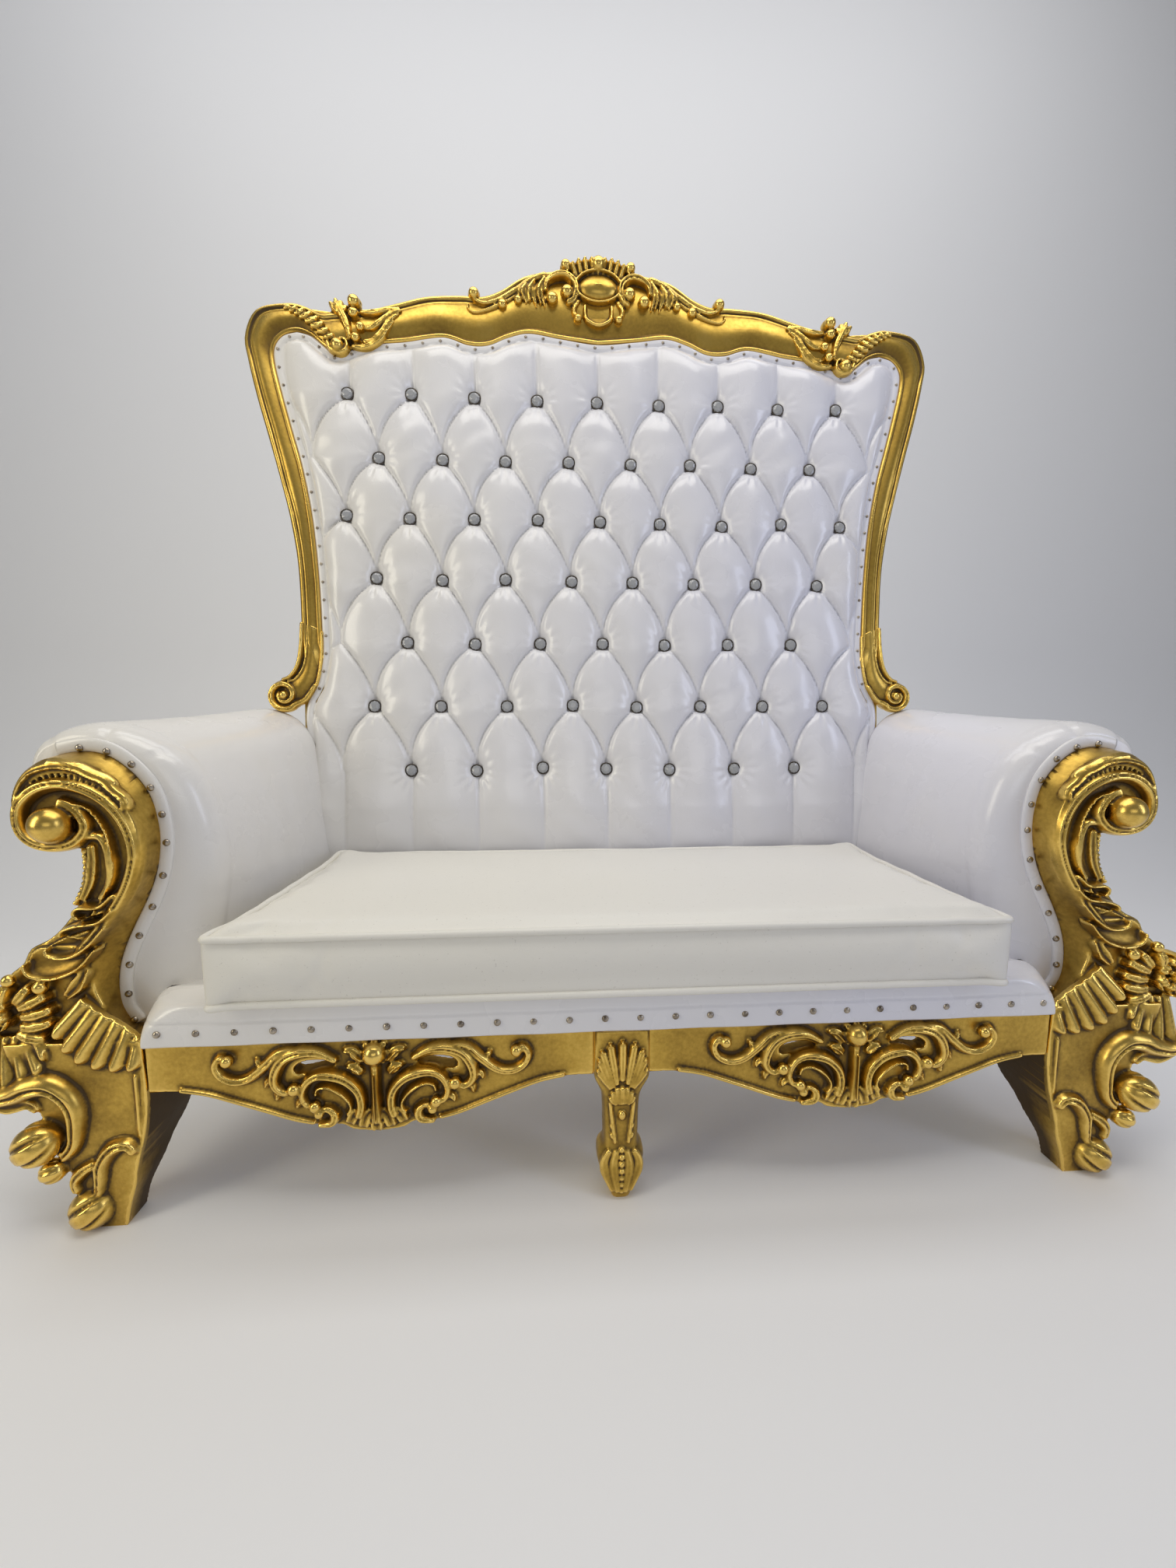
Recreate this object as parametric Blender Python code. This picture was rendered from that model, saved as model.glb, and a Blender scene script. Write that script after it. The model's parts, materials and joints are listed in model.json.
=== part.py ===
"""A two-seat throne: gilded carved frame, tufted back, rolled arms and a loose box cushion.

Metres, +Z up, front towards -Y, +X to the right as seen from the front.
The origin is on the floor, under the middle of the whole throne.
"""
import bpy
import bmesh
import numpy as np
from math import cos, pi, sin

# Driving sizes of the whole throne
HEIGHT = 1.845
DEPTH = 0.64
APRON_HALF_RUN = 0.772
APRON_TOP = 0.31
ARM_HEIGHT = 0.783
BACK_HALF_WIDTH = 0.765

# Thicknesses and setbacks, measured back from the cushion's front face
FRONT = -DEPTH / 2
ARM_FACE = FRONT + 0.075
ARM_PLATE = 0.040
APRON_FACE = FRONT + 0.055
APRON_THICKNESS = 0.030
DECK_FACE = FRONT + 0.040
BACK_FACE = FRONT + 0.437
BACK_PIVOT_HEIGHT = 0.55
BACK_RAKE = 0.10
BACK_FRAME_THICKNESS = 0.060
BACK_PAD_THICKNESS = 0.044
BACK_COVER_THICKNESS = 0.010

# Seat
CUSHION_BOTTOM = 0.383
CUSHION_FRONT_HALF = 0.661
CUSHION_FRONT_THICKNESS = 0.123
CUSHION_BACK_THICKNESS = 0.165
CUSHION_ROUNDING = 0.012
PAD_INNER_FRONT = 0.700
ARM_PAD_BOTTOM = 0.300

# Legs and rails
FRONT_LEG_DEPTH = 0.150
STILE_HALF = 0.632
STILE_WIDTH = 0.046
PAD_INSIDE_STILE = 0.032
CUSHION_INSIDE_PAD = 0.017
PAD_INNER_BACK = STILE_HALF - PAD_INSIDE_STILE
CUSHION_BACK_HALF = PAD_INNER_BACK - CUSHION_INSIDE_PAD
RAIL_BOTTOM = 0.215
SIDE_RAIL_WIDTH = 0.060
REAR_LEG_DEPTH = 0.080
REAR_LEG_SWEEP = 1.35
REAR_LEG_LEVELS = 7
REAR_LEG_TOE_IN = 0.010
REAR_LEG_TOE_OUT = 0.006
CENTRE_LEG_HALF = 0.048
CENTRE_LEG_DEPTH = 0.075
CENTRE_LEG_FORWARD = 0.014

# Clearances between pieces
GAP = 0.0004
SOFT_GAP = 0.003
SINK = 0.006

# Fineness of the carved solids
VOXEL = 0.004
ARM_TRIANGLES = 1915
BACK_TRIANGLES = 2150
APRON_TRIANGLES = 780
CENTRE_LEG_TRIANGLES = 300

# The patterns below are drawn at these reference sizes and scaled to the driving sizes
DRAWN_ARM = 0.783
DRAWN_BACK_HALF = 0.770
DRAWN_STILE = 0.636
DRAWN_CREST = 1.840
ARM_SCALE = ARM_HEIGHT / DRAWN_ARM
STILE_SCALE = STILE_HALF / DRAWN_STILE
EAR_SCALE = (BACK_HALF_WIDTH - STILE_HALF) / (DRAWN_BACK_HALF - DRAWN_STILE)
BACK_SCALE_Z = (HEIGHT - ARM_HEIGHT) / (DRAWN_CREST - DRAWN_ARM)

GOLD = ("gold", (0.60, 0.40, 0.08), 0.32, 1.0)
LEATHER = ("white_leather", (0.82, 0.81, 0.82), 0.42, 0.0)
CLOTH = ("rear_cloth", (0.70, 0.69, 0.68), 0.75, 0.0)


def material(recipe):
    """One Principled material per recipe, made once and shared."""
    name, colour, roughness, metallic = recipe
    found = bpy.data.materials.get(name)
    if found:
        return found
    made = bpy.data.materials.new(name)
    made.use_nodes = True
    shader = made.node_tree.nodes["Principled BSDF"]
    shader.inputs["Base Color"].default_value = (*colour, 1.0)
    shader.inputs["Roughness"].default_value = roughness
    shader.inputs["Metallic"].default_value = metallic
    return made


def curve(points, count):
    """Evenly spaced points on a smooth curve through the given ones."""
    given = np.array(points, float)
    ends = np.vstack([2 * given[0] - given[1], given, 2 * given[-1] - given[-2]])
    steps = np.linspace(0, len(given) - 1, 12 * len(given))
    index = np.minimum(steps.astype(int), len(given) - 2)
    t = (steps - index)[:, None]
    a, b, c, d = (ends[index + k] for k in range(4))
    dense = 0.5 * (2 * b + (c - a) * t + (2 * a - 5 * b + 4 * c - d) * t**2 + (3 * b - a - 3 * c + d) * t**3)
    run = np.concatenate([[0], np.cumsum(np.linalg.norm(np.diff(dense, axis=0), axis=1))])
    wanted = np.linspace(0, run[-1], count)
    return np.column_stack([np.interp(wanted, run, dense[:, k]) for k in range(dense.shape[1])])


class Shell:
    """Closed shells collected in panel coordinates: x, height z and distance out of the panel."""

    def __init__(self, place):
        self.place = place
        self.bm = bmesh.new()

    def add(self, points, faces):
        verts = [self.bm.verts.new(self.place(*point)) for point in points]
        made = [self.bm.faces.new([verts[i] for i in face]) for face in faces]
        bmesh.ops.recalc_face_normals(self.bm, faces=made)

    def prism(self, outline, low, high):
        """A flat plate: the outline in x and z, between two distances out of the panel."""
        count = len(outline)
        points = [(x, z, low) for x, z in outline] + [(x, z, high) for x, z in outline]
        walls = [(i, (i + 1) % count, count + (i + 1) % count, count + i) for i in range(count)]
        self.add(points, walls + [tuple(range(count)), tuple(range(count, 2 * count))])

    def skin(self, rings):
        """A closed skin over rings of points, with flat ends."""
        size = len(rings[0])
        last = len(rings) - 1
        faces = [tuple(range(size)), tuple(range(last * size, (last + 1) * size))]
        for ring in range(last):
            for i in range(size):
                j = (i + 1) % size
                faces.append((ring * size + i, ring * size + j, (ring + 1) * size + j, (ring + 1) * size + i))
        self.add([point for ring in rings for point in ring], faces)

    def stroke(self, path, widths, rise, rings=8, ridge=False, base=0.0):
        """A raised moulding along a path, sunk a little into the panel, tapering by its widths."""
        line = curve(path, rings)
        along = np.gradient(line, axis=0)
        along /= np.linalg.norm(along, axis=1)[:, None]
        half = np.interp(np.linspace(0, 1, rings), np.linspace(0, 1, len(widths)), widths)
        lift = 0.55 + 0.45 * half / max(widths)
        section = [(-1.0, 0.0), (0.0, 1.0), (1.0, 0.0)] if ridge else [(-1.0, 0.0), (-0.5, 1.0), (0.5, 1.0), (1.0, 0.0)]
        sections = []
        for (x, z), (dx, dz), w, up in zip(line, along, half, lift):
            sections.append([(x - dz * across * w, z + dx * across * w, base - SINK + out * (rise * up + SINK))
                             for across, out in section])
        self.skin(sections)

    def ball(self, x, z, radius, out=0.0, bands=4, sides=8, stretch=1.0):
        """A faceted ball with its poles up and down."""
        points = [(x, z - radius * stretch, out), (x, z + radius * stretch, out)]
        for band in range(1, bands):
            rise = -cos(pi * band / bands)
            reach = radius * sin(pi * band / bands)
            for side in range(sides):
                turn = 2 * pi * side / sides
                points.append((x + reach * cos(turn), z + radius * stretch * rise, out + reach * sin(turn)))
        ring = lambda band, side: 2 + (band - 1) * sides + side % sides
        faces = [(0, ring(1, s + 1), ring(1, s)) for s in range(sides)]
        faces += [(1, ring(bands - 1, s), ring(bands - 1, s + 1)) for s in range(sides)]
        for band in range(1, bands - 1):
            faces += [(ring(band, s), ring(band, s + 1), ring(band + 1, s + 1), ring(band + 1, s)) for s in range(sides)]
        self.add(points, faces)

    def mesh(self, name):
        data = bpy.data.meshes.new(name)
        self.bm.to_mesh(data)
        self.bm.free()
        return data


def block(low, high, side=1):
    """A box between two corners, mirrored to one side of the throne."""
    shell = Shell(lambda x, y, z: (side * x, y, z))
    rings = [[(low[0], low[1], z), (high[0], low[1], z), (high[0], high[1], z), (low[0], high[1], z)]
             for z in (low[2], high[2])]
    shell.skin(rings)
    return shell


def solid(name, mesh, recipe):
    """A named object for a finished mesh, with its material."""
    mesh.materials.append(material(recipe))
    piece = bpy.data.objects.new(name, mesh)
    bpy.context.scene.collection.objects.link(piece)
    return piece


def helper(name, mesh):
    """A hidden operand that a Boolean modifier reads."""
    guide = bpy.data.objects.new(name, mesh)
    bpy.context.scene.collection.objects.link(guide)
    guide.hide_render = True
    guide.display_type = "WIRE"
    return guide


def carved(name, shell, triangles, trims):
    """One solid from overlapping shells: fused, thinned to a triangle budget, then trimmed flat."""
    piece = solid(name, shell.mesh(name), GOLD)
    fuse = piece.modifiers.new("fuse", "REMESH")
    fuse.mode = "VOXEL"
    fuse.voxel_size = VOXEL
    view = bpy.context.evaluated_depsgraph_get()
    fused = len(piece.evaluated_get(view).data.polygons)
    thin = piece.modifiers.new("thin", "DECIMATE")
    thin.ratio = min(1.0, triangles / (2 * fused))
    for index, trim in enumerate(trims):
        cut = piece.modifiers.new("trim_%d" % index, "BOOLEAN")
        cut.operation = "DIFFERENCE"
        cut.solver = "EXACT"
        cut.object = helper("%s_trim_%d" % (name, index), trim.mesh("%s_trim_%d" % (name, index)))
    return piece


def loft(name, rings, recipe):
    """A named solid skinned over rings of points in world coordinates."""
    shell = Shell(lambda x, y, z: (x, y, z))
    shell.skin(rings)
    return solid(name, shell.mesh(name), recipe)


def mirrored(points, side):
    return [(side * x, z) for x, z in points]


# Arm front: drawn for the +X side, heights from the floor, x out from the apron's end
INNER_EDGE = [(0.004, 0.300), (0.050, 0.318), (0.066, 0.345), (0.069, 0.372), (0.067, 0.400), (0.061, 0.428),
              (0.050, 0.457), (0.035, 0.488), (0.015, 0.526), (-0.002, 0.564), (-0.012, 0.600), (-0.017, 0.640),
              (-0.015, 0.675), (-0.008, 0.708), (0.006, 0.735), (0.029, 0.760), (0.055, 0.777), (0.088, 0.783),
              (0.128, 0.776), (0.158, 0.756), (0.177, 0.724), (0.180, 0.693), (0.171, 0.664), (0.150, 0.641),
              (0.110, 0.634), (0.078, 0.628)]
FACE_EDGE = [(0.004, 0.296), (0.040, 0.325), (0.060, 0.352), (0.074, 0.376), (0.082, 0.398), (0.083, 0.424),
             (0.077, 0.452), (0.066, 0.476), (0.047, 0.500), (0.024, 0.530), (0.005, 0.558), (-0.008, 0.587),
             (-0.014, 0.615), (-0.015, 0.642), (-0.010, 0.670), (0.001, 0.696), (0.017, 0.718), (0.035, 0.738),
             (0.056, 0.756), (0.080, 0.768), (0.105, 0.773), (0.128, 0.768), (0.150, 0.750), (0.168, 0.722),
             (0.172, 0.693), (0.164, 0.668), (0.146, 0.648), (0.112, 0.640), (0.082, 0.632)]
NECK_EDGE = [(0.072, 0.605), (0.078, 0.571), (0.094, 0.538), (0.118, 0.506), (0.142, 0.484), (0.172, 0.468),
             (0.186, 0.444), (0.206, 0.428), (0.220, 0.408)]
SHOULDER_EDGE = [(0.240, 0.350), (0.232, 0.285), (0.010, 0.285)]
BAND_EDGE = [(0.116, 0.768), (0.082, 0.764), (0.058, 0.752), (0.038, 0.734), (0.020, 0.715), (0.005, 0.694),
             (-0.006, 0.669), (-0.011, 0.642), (-0.010, 0.616), (-0.004, 0.589), (0.009, 0.561), (0.028, 0.533),
             (0.051, 0.503), (0.071, 0.479), (0.083, 0.454), (0.089, 0.425)]
VOLUTE = [(0.094, 0.462), (0.060, 0.500), (0.036, 0.531), (0.012, 0.570), (-0.002, 0.612), (-0.002, 0.645),
          (0.008, 0.676), (0.028, 0.704), (0.058, 0.724), (0.092, 0.733), (0.125, 0.727), (0.150, 0.708),
          (0.159, 0.685), (0.155, 0.659), (0.136, 0.641), (0.108, 0.636), (0.081, 0.643), (0.064, 0.663),
          (0.069, 0.684), (0.084, 0.700), (0.104, 0.707)]
INNER_BAND = [(0.068, 0.650), (0.046, 0.650), (0.035, 0.629), (0.033, 0.598), (0.040, 0.571), (0.057, 0.547)]
NECK_LEAF = [(0.061, 0.640), (0.062, 0.613), (0.068, 0.578), (0.084, 0.545)]
WAVY_LEAF = [(0.006, 0.688), (0.006, 0.706), (0.020, 0.720), (0.034, 0.735), (0.051, 0.743), (0.072, 0.754),
             (0.101, 0.758), (0.129, 0.751), (0.146, 0.737), (0.157, 0.717), (0.161, 0.697), (0.155, 0.678)]
SCALLOPS = [[(0.027, 0.560), (0.048, 0.541), (0.077, 0.540), (0.086, 0.530), (0.076, 0.520), (0.050, 0.530)],
            [(0.029, 0.536), (0.052, 0.516), (0.085, 0.511), (0.108, 0.502), (0.107, 0.491), (0.080, 0.489)],
            [(0.044, 0.508), (0.073, 0.476), (0.103, 0.460), (0.131, 0.464), (0.134, 0.478), (0.110, 0.489)],
            [(0.062, 0.472), (0.092, 0.440), (0.130, 0.426), (0.163, 0.432), (0.172, 0.452), (0.150, 0.473)]]
CUP_LEAF = [(0.080, 0.447), (0.098, 0.422), (0.120, 0.405), (0.128, 0.425), (0.115, 0.446)]
BUDS = [(0.140, 0.413, 0.013), (0.187, 0.418, 0.014), (0.160, 0.392, 0.013), (0.148, 0.366, 0.013)]
ROSETTE = (0.238, 0.369)
ROSETTE_PETALS = 6
ROSETTE_REACH = 0.036
SKIRT = [((0.013, 0.318), (0.020, 0.272)), ((0.030, 0.335), (0.046, 0.274)), ((0.048, 0.350), (0.067, 0.273)),
         ((0.062, 0.362), (0.093, 0.282)), ((0.076, 0.370), (0.114, 0.299)), ((0.088, 0.382), (0.132, 0.330))]
SHOULDER_LEAVES = [[(0.150, 0.350), (0.180, 0.330), (0.214, 0.310)], [(0.215, 0.330), (0.190, 0.285), (0.165, 0.268)],
                   [(0.238, 0.330), (0.225, 0.280), (0.212, 0.245)], [(0.258, 0.330), (0.258, 0.275), (0.246, 0.235)]]
C_SCROLL = [(0.262, 0.262), (0.236, 0.236), (0.202, 0.240), (0.175, 0.251), (0.146, 0.252), (0.123, 0.235),
            (0.111, 0.210), (0.111, 0.177), (0.118, 0.147), (0.140, 0.124)]
C_LIP = [(0.256, 0.236), (0.218, 0.218), (0.182, 0.220), (0.168, 0.205)]
LEG_BALLS = [(0.162, 0.160, 0.030, 0.020), (0.196, 0.162, 0.019, 0.014), (0.150, 0.106, 0.019, 0.012)]
LOW_SCROLL = [(0.082, 0.118), (0.105, 0.104), (0.119, 0.086), (0.116, 0.062)]
INNER_CURL = [(0.022, 0.128), (0.034, 0.146), (0.058, 0.140), (0.076, 0.115), (0.081, 0.085), (0.086, 0.056)]
FOOT_BALLS = [(0.096, 0.030, 0.033, 0.004), (0.118, 0.040, 0.024, 0.000)]
PANEL_LINE = [(0.027, 0.262), (0.027, 0.150)]

# The leg's core: height, inner x, outer x, face forward of the apron's, and depth behind that face
LEG_CORE = [(0.318, 0.006, 0.215, 0.000, 1.00), (0.250, 0.004, 0.190, 0.000, 1.00), (0.200, 0.004, 0.168, 0.002, 0.97),
            (0.150, 0.012, 0.150, 0.004, 0.92), (0.118, 0.021, 0.140, 0.005, 0.86), (0.096, 0.026, 0.128, 0.006, 0.68),
            (0.070, 0.030, 0.115, 0.007, 0.52), (0.036, 0.040, 0.108, 0.008, 0.36), (-0.012, 0.052, 0.120, 0.006, 0.32)]


def arm_x(x):
    return APRON_HALF_RUN + x * ARM_SCALE


def arm_points(points):
    return [(arm_x(x), z * ARM_SCALE) for x, z in points]


def arm_front(name, side):
    """The carved gilt front of one arm, its shoulder, leg and foot in one piece."""
    carving = Shell(lambda x, z, out: (side * arm_x(x), ARM_FACE - out, z * ARM_SCALE))
    rest = list(curve(NECK_EDGE, 9)) + SHOULDER_EDGE
    carving.skin([[(x, z, out) for x, z in list(curve(edge, 32)) + rest]
                  for edge, out in ((INNER_EDGE, -ARM_PLATE - SINK), (FACE_EDGE, 0.0))])
    core = []
    for height, inner, outer, forward, share in LEG_CORE:
        near = ARM_FACE - APRON_FACE + forward
        far = near - FRONT_LEG_DEPTH * share
        core.append([(inner, height, near), (outer, height, near), (outer, height, far), (inner, height, far)])
    carving.skin(core)

    carving.stroke(BAND_EDGE, [0.003, 0.004, 0.004], 0.008, rings=15, ridge=True)
    carving.stroke(VOLUTE, [0.009, 0.010, 0.011, 0.011, 0.008], 0.018, rings=25)
    carving.stroke(INNER_BAND, [0.006, 0.009, 0.004], 0.016, rings=7, ridge=True)
    carving.stroke(NECK_LEAF, [0.008, 0.011, 0.006], 0.014, rings=5)
    carving.stroke(WAVY_LEAF, [0.009, 0.008, 0.010, 0.008], 0.018, rings=12, ridge=True)
    carving.ball(0.106, 0.671, 0.029, 0.018)
    for ring in SCALLOPS:
        carving.stroke(ring, [0.007, 0.010, 0.005], 0.022, rings=7, ridge=True)
    carving.stroke(CUP_LEAF, [0.008, 0.010, 0.005], 0.022, rings=5, ridge=True)
    for x, z, radius in BUDS:
        carving.ball(x, z, radius, 0.016, bands=3, sides=6)
    low = APRON_FACE - ARM_FACE
    for root, tip in SKIRT:
        carving.stroke([root, tip], [0.009, 0.013, 0.011], 0.020, rings=3, base=0.012)
    for leaf in SHOULDER_LEAVES:
        carving.stroke(leaf, [0.012, 0.016, 0.007], 0.030, rings=4)
    carving.ball(*ROSETTE, 0.017, 0.026, bands=3, sides=8)
    for petal in range(ROSETTE_PETALS):
        turn = 2 * pi * (petal + 0.5) / ROSETTE_PETALS
        root = (ROSETTE[0] + 0.3 * ROSETTE_REACH * cos(turn), ROSETTE[1] + 0.3 * ROSETTE_REACH * sin(turn))
        tip = (ROSETTE[0] + ROSETTE_REACH * cos(turn), ROSETTE[1] + ROSETTE_REACH * sin(turn))
        carving.stroke([root, tip], [0.008, 0.015, 0.008], 0.024, rings=3)
    carving.stroke(C_SCROLL, [0.013, 0.019, 0.017, 0.010], 0.020, rings=10, base=-low)
    carving.stroke(C_LIP, [0.010, 0.012, 0.006], 0.012, rings=4, base=-low)
    for x, z, radius, out in LEG_BALLS:
        carving.ball(x, z, radius, out - low)
    carving.stroke(LOW_SCROLL, [0.008, 0.011, 0.008], 0.018, rings=4, base=-low)
    carving.stroke(INNER_CURL, [0.008, 0.012, 0.012, 0.008], 0.020, rings=6, base=-low)
    for x, z, radius, out in FOOT_BALLS:
        carving.ball(x, z, radius, out - low)
    carving.stroke(PANEL_LINE, [0.003, 0.003], 0.005, rings=2, ridge=True, base=-low)
    reach = APRON_HALF_RUN + ARM_HEIGHT
    behind = ARM_FACE + ARM_PLATE
    trims = [block((0.0, -DEPTH, -0.2), (reach, DEPTH, 0.0), side),
             block((0.0, behind, ARM_PAD_BOTTOM - GAP), (reach, DEPTH, ARM_HEIGHT + 0.2), side),
             block((0.0, -DEPTH, -0.1), (APRON_HALF_RUN, DEPTH, CUSHION_BOTTOM + SOFT_GAP), side),
             block((0.0, APRON_FACE + FRONT_LEG_DEPTH, -0.1), (reach, DEPTH, ARM_PAD_BOTTOM), side)]
    return carved(name, carving, ARM_TRIANGLES, trims)


# Arm pad sections, drawn like the arm front: inner side up, over the roll, down the outer side
PAD_FRONT = [(0.003, 0.300), (0.036, 0.365), (0.036, 0.418), (0.022, 0.465), (-0.004, 0.517), (-0.022, 0.563),
             (-0.033, 0.612), (-0.035, 0.668), (-0.026, 0.714), (-0.004, 0.757), (0.025, 0.778), (0.053, 0.790),
             (0.090, 0.798), (0.133, 0.792), (0.163, 0.768), (0.174, 0.712), (0.160, 0.672), (0.130, 0.650),
             (0.092, 0.625), (0.090, 0.580), (0.113, 0.530), (0.128, 0.490), (0.128, 0.400), (0.128, 0.300)]
PAD_ROLL = [(0.000, 0.300), (0.000, 0.365), (-0.002, 0.418), (-0.005, 0.465), (-0.015, 0.517), (-0.022, 0.563),
            (-0.024, 0.612), (-0.018, 0.668), (-0.002, 0.722), (0.028, 0.770), (0.072, 0.803), (0.122, 0.822),
            (0.168, 0.826), (0.215, 0.814), (0.252, 0.782), (0.264, 0.720), (0.245, 0.672), (0.210, 0.645),
            (0.172, 0.620), (0.170, 0.580), (0.185, 0.530), (0.200, 0.490), (0.200, 0.400), (0.200, 0.300)]
PAD_BACK = [(0.000, 0.300), (0.000, 0.365), (0.000, 0.418), (0.000, 0.465), (0.002, 0.517), (0.006, 0.563),
            (0.010, 0.612), (0.014, 0.668), (0.020, 0.722), (0.036, 0.785), (0.070, 0.828), (0.118, 0.848),
            (0.166, 0.848), (0.210, 0.832), (0.240, 0.796), (0.250, 0.725), (0.235, 0.672), (0.200, 0.645),
            (0.178, 0.620), (0.176, 0.580), (0.184, 0.530), (0.194, 0.490), (0.194, 0.400), (0.194, 0.300)]
PAD_ROLL_SETBACK = 0.055


def back_y(z):
    """The raked front plane of the back frame."""
    return BACK_FACE + BACK_RAKE * (z - BACK_PIVOT_HEIGHT)


def arm_pad(name, side):
    """One upholstered rolled arm, from the gilt front back to the back frame."""
    near = ARM_FACE + ARM_PLATE + GAP
    front = [(side * arm_x(x), near, max(z * ARM_SCALE, ARM_PAD_BOTTOM + GAP)) for x, z in PAD_FRONT]
    roll = [(side * (PAD_INNER_FRONT + x * ARM_SCALE), near + PAD_ROLL_SETBACK, z) for x, z in
            ((x, max(z * ARM_SCALE, ARM_PAD_BOTTOM + GAP)) for x, z in PAD_ROLL)]
    back = [(side * (PAD_INNER_BACK + x * ARM_SCALE), back_y(z) - SOFT_GAP, z) for x, z in
            ((x, max(z * ARM_SCALE, ARM_PAD_BOTTOM + GAP)) for x, z in PAD_BACK)]
    return loft(name, [front, roll, back], LEATHER)


# Back frame outline, drawn for +X: outside from the bottom up to the crest's middle, then the inside
SIDE_SCROLL = (0.700, 0.880)
SIDE_SCROLL_RADIUS = 0.031
SCROLL_FOOT = [(0.662, 0.850), (0.690, 0.856)]
SCROLL_NECK = [(0.676, 0.985), (0.668, 0.950), (0.672, 0.925)]
OUTER_SIDE = [(0.690, 0.912), (0.668, 0.945), (0.661, 1.000), (0.661, 1.060), (0.666, 1.150), (0.680, 1.250),
              (0.698, 1.330), (0.724, 1.430), (0.747, 1.515), (0.765, 1.595), (0.771, 1.648), (0.764, 1.680),
              (0.745, 1.703), (0.716, 1.715), (0.680, 1.719), (0.645, 1.714), (0.610, 1.700)]
TOP_EDGE = [(0.560, 1.705), (0.510, 1.711), (0.448, 1.728), (0.381, 1.746), (0.305, 1.752), (0.258, 1.752),
            (0.216, 1.768), (0.162, 1.801), (0.120, 1.812), (0.072, 1.818), (0.000, 1.822)]
INNER_SIDE = [(0.613, 0.840), (0.618, 1.000), (0.624, 1.140), (0.636, 1.265), (0.655, 1.370), (0.676, 1.450),
              (0.696, 1.527), (0.710, 1.590), (0.710, 1.625), (0.692, 1.650), (0.661, 1.660), (0.630, 1.652),
              (0.600, 1.629), (0.578, 1.615)]
INNER_CREST = [(0.545, 1.625), (0.489, 1.640), (0.427, 1.648), (0.345, 1.661), (0.290, 1.647), (0.247, 1.648),
               (0.203, 1.666), (0.155, 1.678), (0.085, 1.669), (0.000, 1.660)]
CENTRE_OVAL = (0.0, 1.778)
OVAL_HALF = (0.046, 0.029)
CROWN = [((0.000, 1.800), (0.000, 1.841)), ((0.016, 1.799), (0.026, 1.836)), ((0.030, 1.795), (0.052, 1.829))]
CROWN_BALL = (0.073, 1.822, 0.011)
CENTRE_C = [(0.118, 1.762), (0.114, 1.785), (0.094, 1.799), (0.072, 1.800), (0.054, 1.786), (0.050, 1.765),
            (0.057, 1.747), (0.074, 1.740)]
CENTRE_BALLS = [(0.070, 1.764, 0.014), (0.103, 1.748, 0.013)]
SHIELD = [(0.030, 1.742), (0.029, 1.712), (0.015, 1.700), (0.000, 1.696)]
SHIELD_LEG = [(0.040, 1.752), (0.054, 1.732), (0.051, 1.716), (0.036, 1.712)]
CREST_LEAVES = [[(0.118, 1.797), (0.133, 1.765), (0.127, 1.733)], [(0.140, 1.790), (0.154, 1.764), (0.150, 1.740)],
                [(0.158, 1.781), (0.169, 1.762), (0.163, 1.743)]]
CREST_STEM = [(0.112, 1.804), (0.148, 1.791), (0.188, 1.764), (0.223, 1.744), (0.253, 1.735), (0.275, 1.742),
              (0.281, 1.752)]
CREST_LOW_STEM = [(0.168, 1.766), (0.205, 1.741), (0.245, 1.722), (0.275, 1.714), (0.290, 1.722), (0.289, 1.735)]
CREST_BALLS = [(0.277, 1.754, 0.012), (0.214, 1.733, 0.010), (0.179, 1.744, 0.009)]
CORNER_LEAF = [(0.690, 1.712), (0.656, 1.700), (0.628, 1.683), (0.604, 1.662), (0.585, 1.645), (0.560, 1.632)]
CORNER_LOBES = [((0.662, 1.703), (0.654, 1.682)), ((0.636, 1.690), (0.632, 1.668)), ((0.614, 1.672), (0.612, 1.650)),
                ((0.592, 1.655), (0.596, 1.634))]
CORNER_SPRAY = [(0.575, 1.718), (0.562, 1.697), (0.551, 1.671), (0.546, 1.640)]
CORNER_BALLS = [(0.536, 1.723, 0.013), (0.537, 1.698, 0.011), (0.523, 1.669, 0.010), (0.533, 1.646, 0.010),
                (0.572, 1.628, 0.014)]
CORNER_RIBS = [[(0.527, 1.703), (0.500, 1.702), (0.472, 1.708), (0.436, 1.716)],
               [(0.521, 1.636), (0.490, 1.650), (0.459, 1.678), (0.436, 1.703)],
               [(0.519, 1.665), (0.490, 1.681), (0.459, 1.699), (0.436, 1.711)]]


def back_x(x):
    """Widths follow the stiles up to their middle, and the ears' reach beyond it."""
    reach = abs(x)
    scaled = min(reach, DRAWN_STILE) * STILE_SCALE + max(reach - DRAWN_STILE, 0.0) * EAR_SCALE
    return scaled if x >= 0 else -scaled


def back_z(z):
    """Heights above the arms stretch with the throne's height."""
    return ARM_HEIGHT + (z - DRAWN_ARM) * BACK_SCALE_Z


def back_points(points):
    return [(back_x(x), back_z(z)) for x, z in points]


def back_place(x, z, out):
    return (x, back_y(z) - out, z)


def inner_outline():
    """The half opening in the back frame, from the seat up its side and along the crest."""
    side = back_points(curve(INNER_SIDE, 18))
    crest = back_points(curve(INNER_CREST, 12))
    return [(STILE_HALF - STILE_WIDTH / 2, RAIL_BOTTOM)] + side + crest


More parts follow.
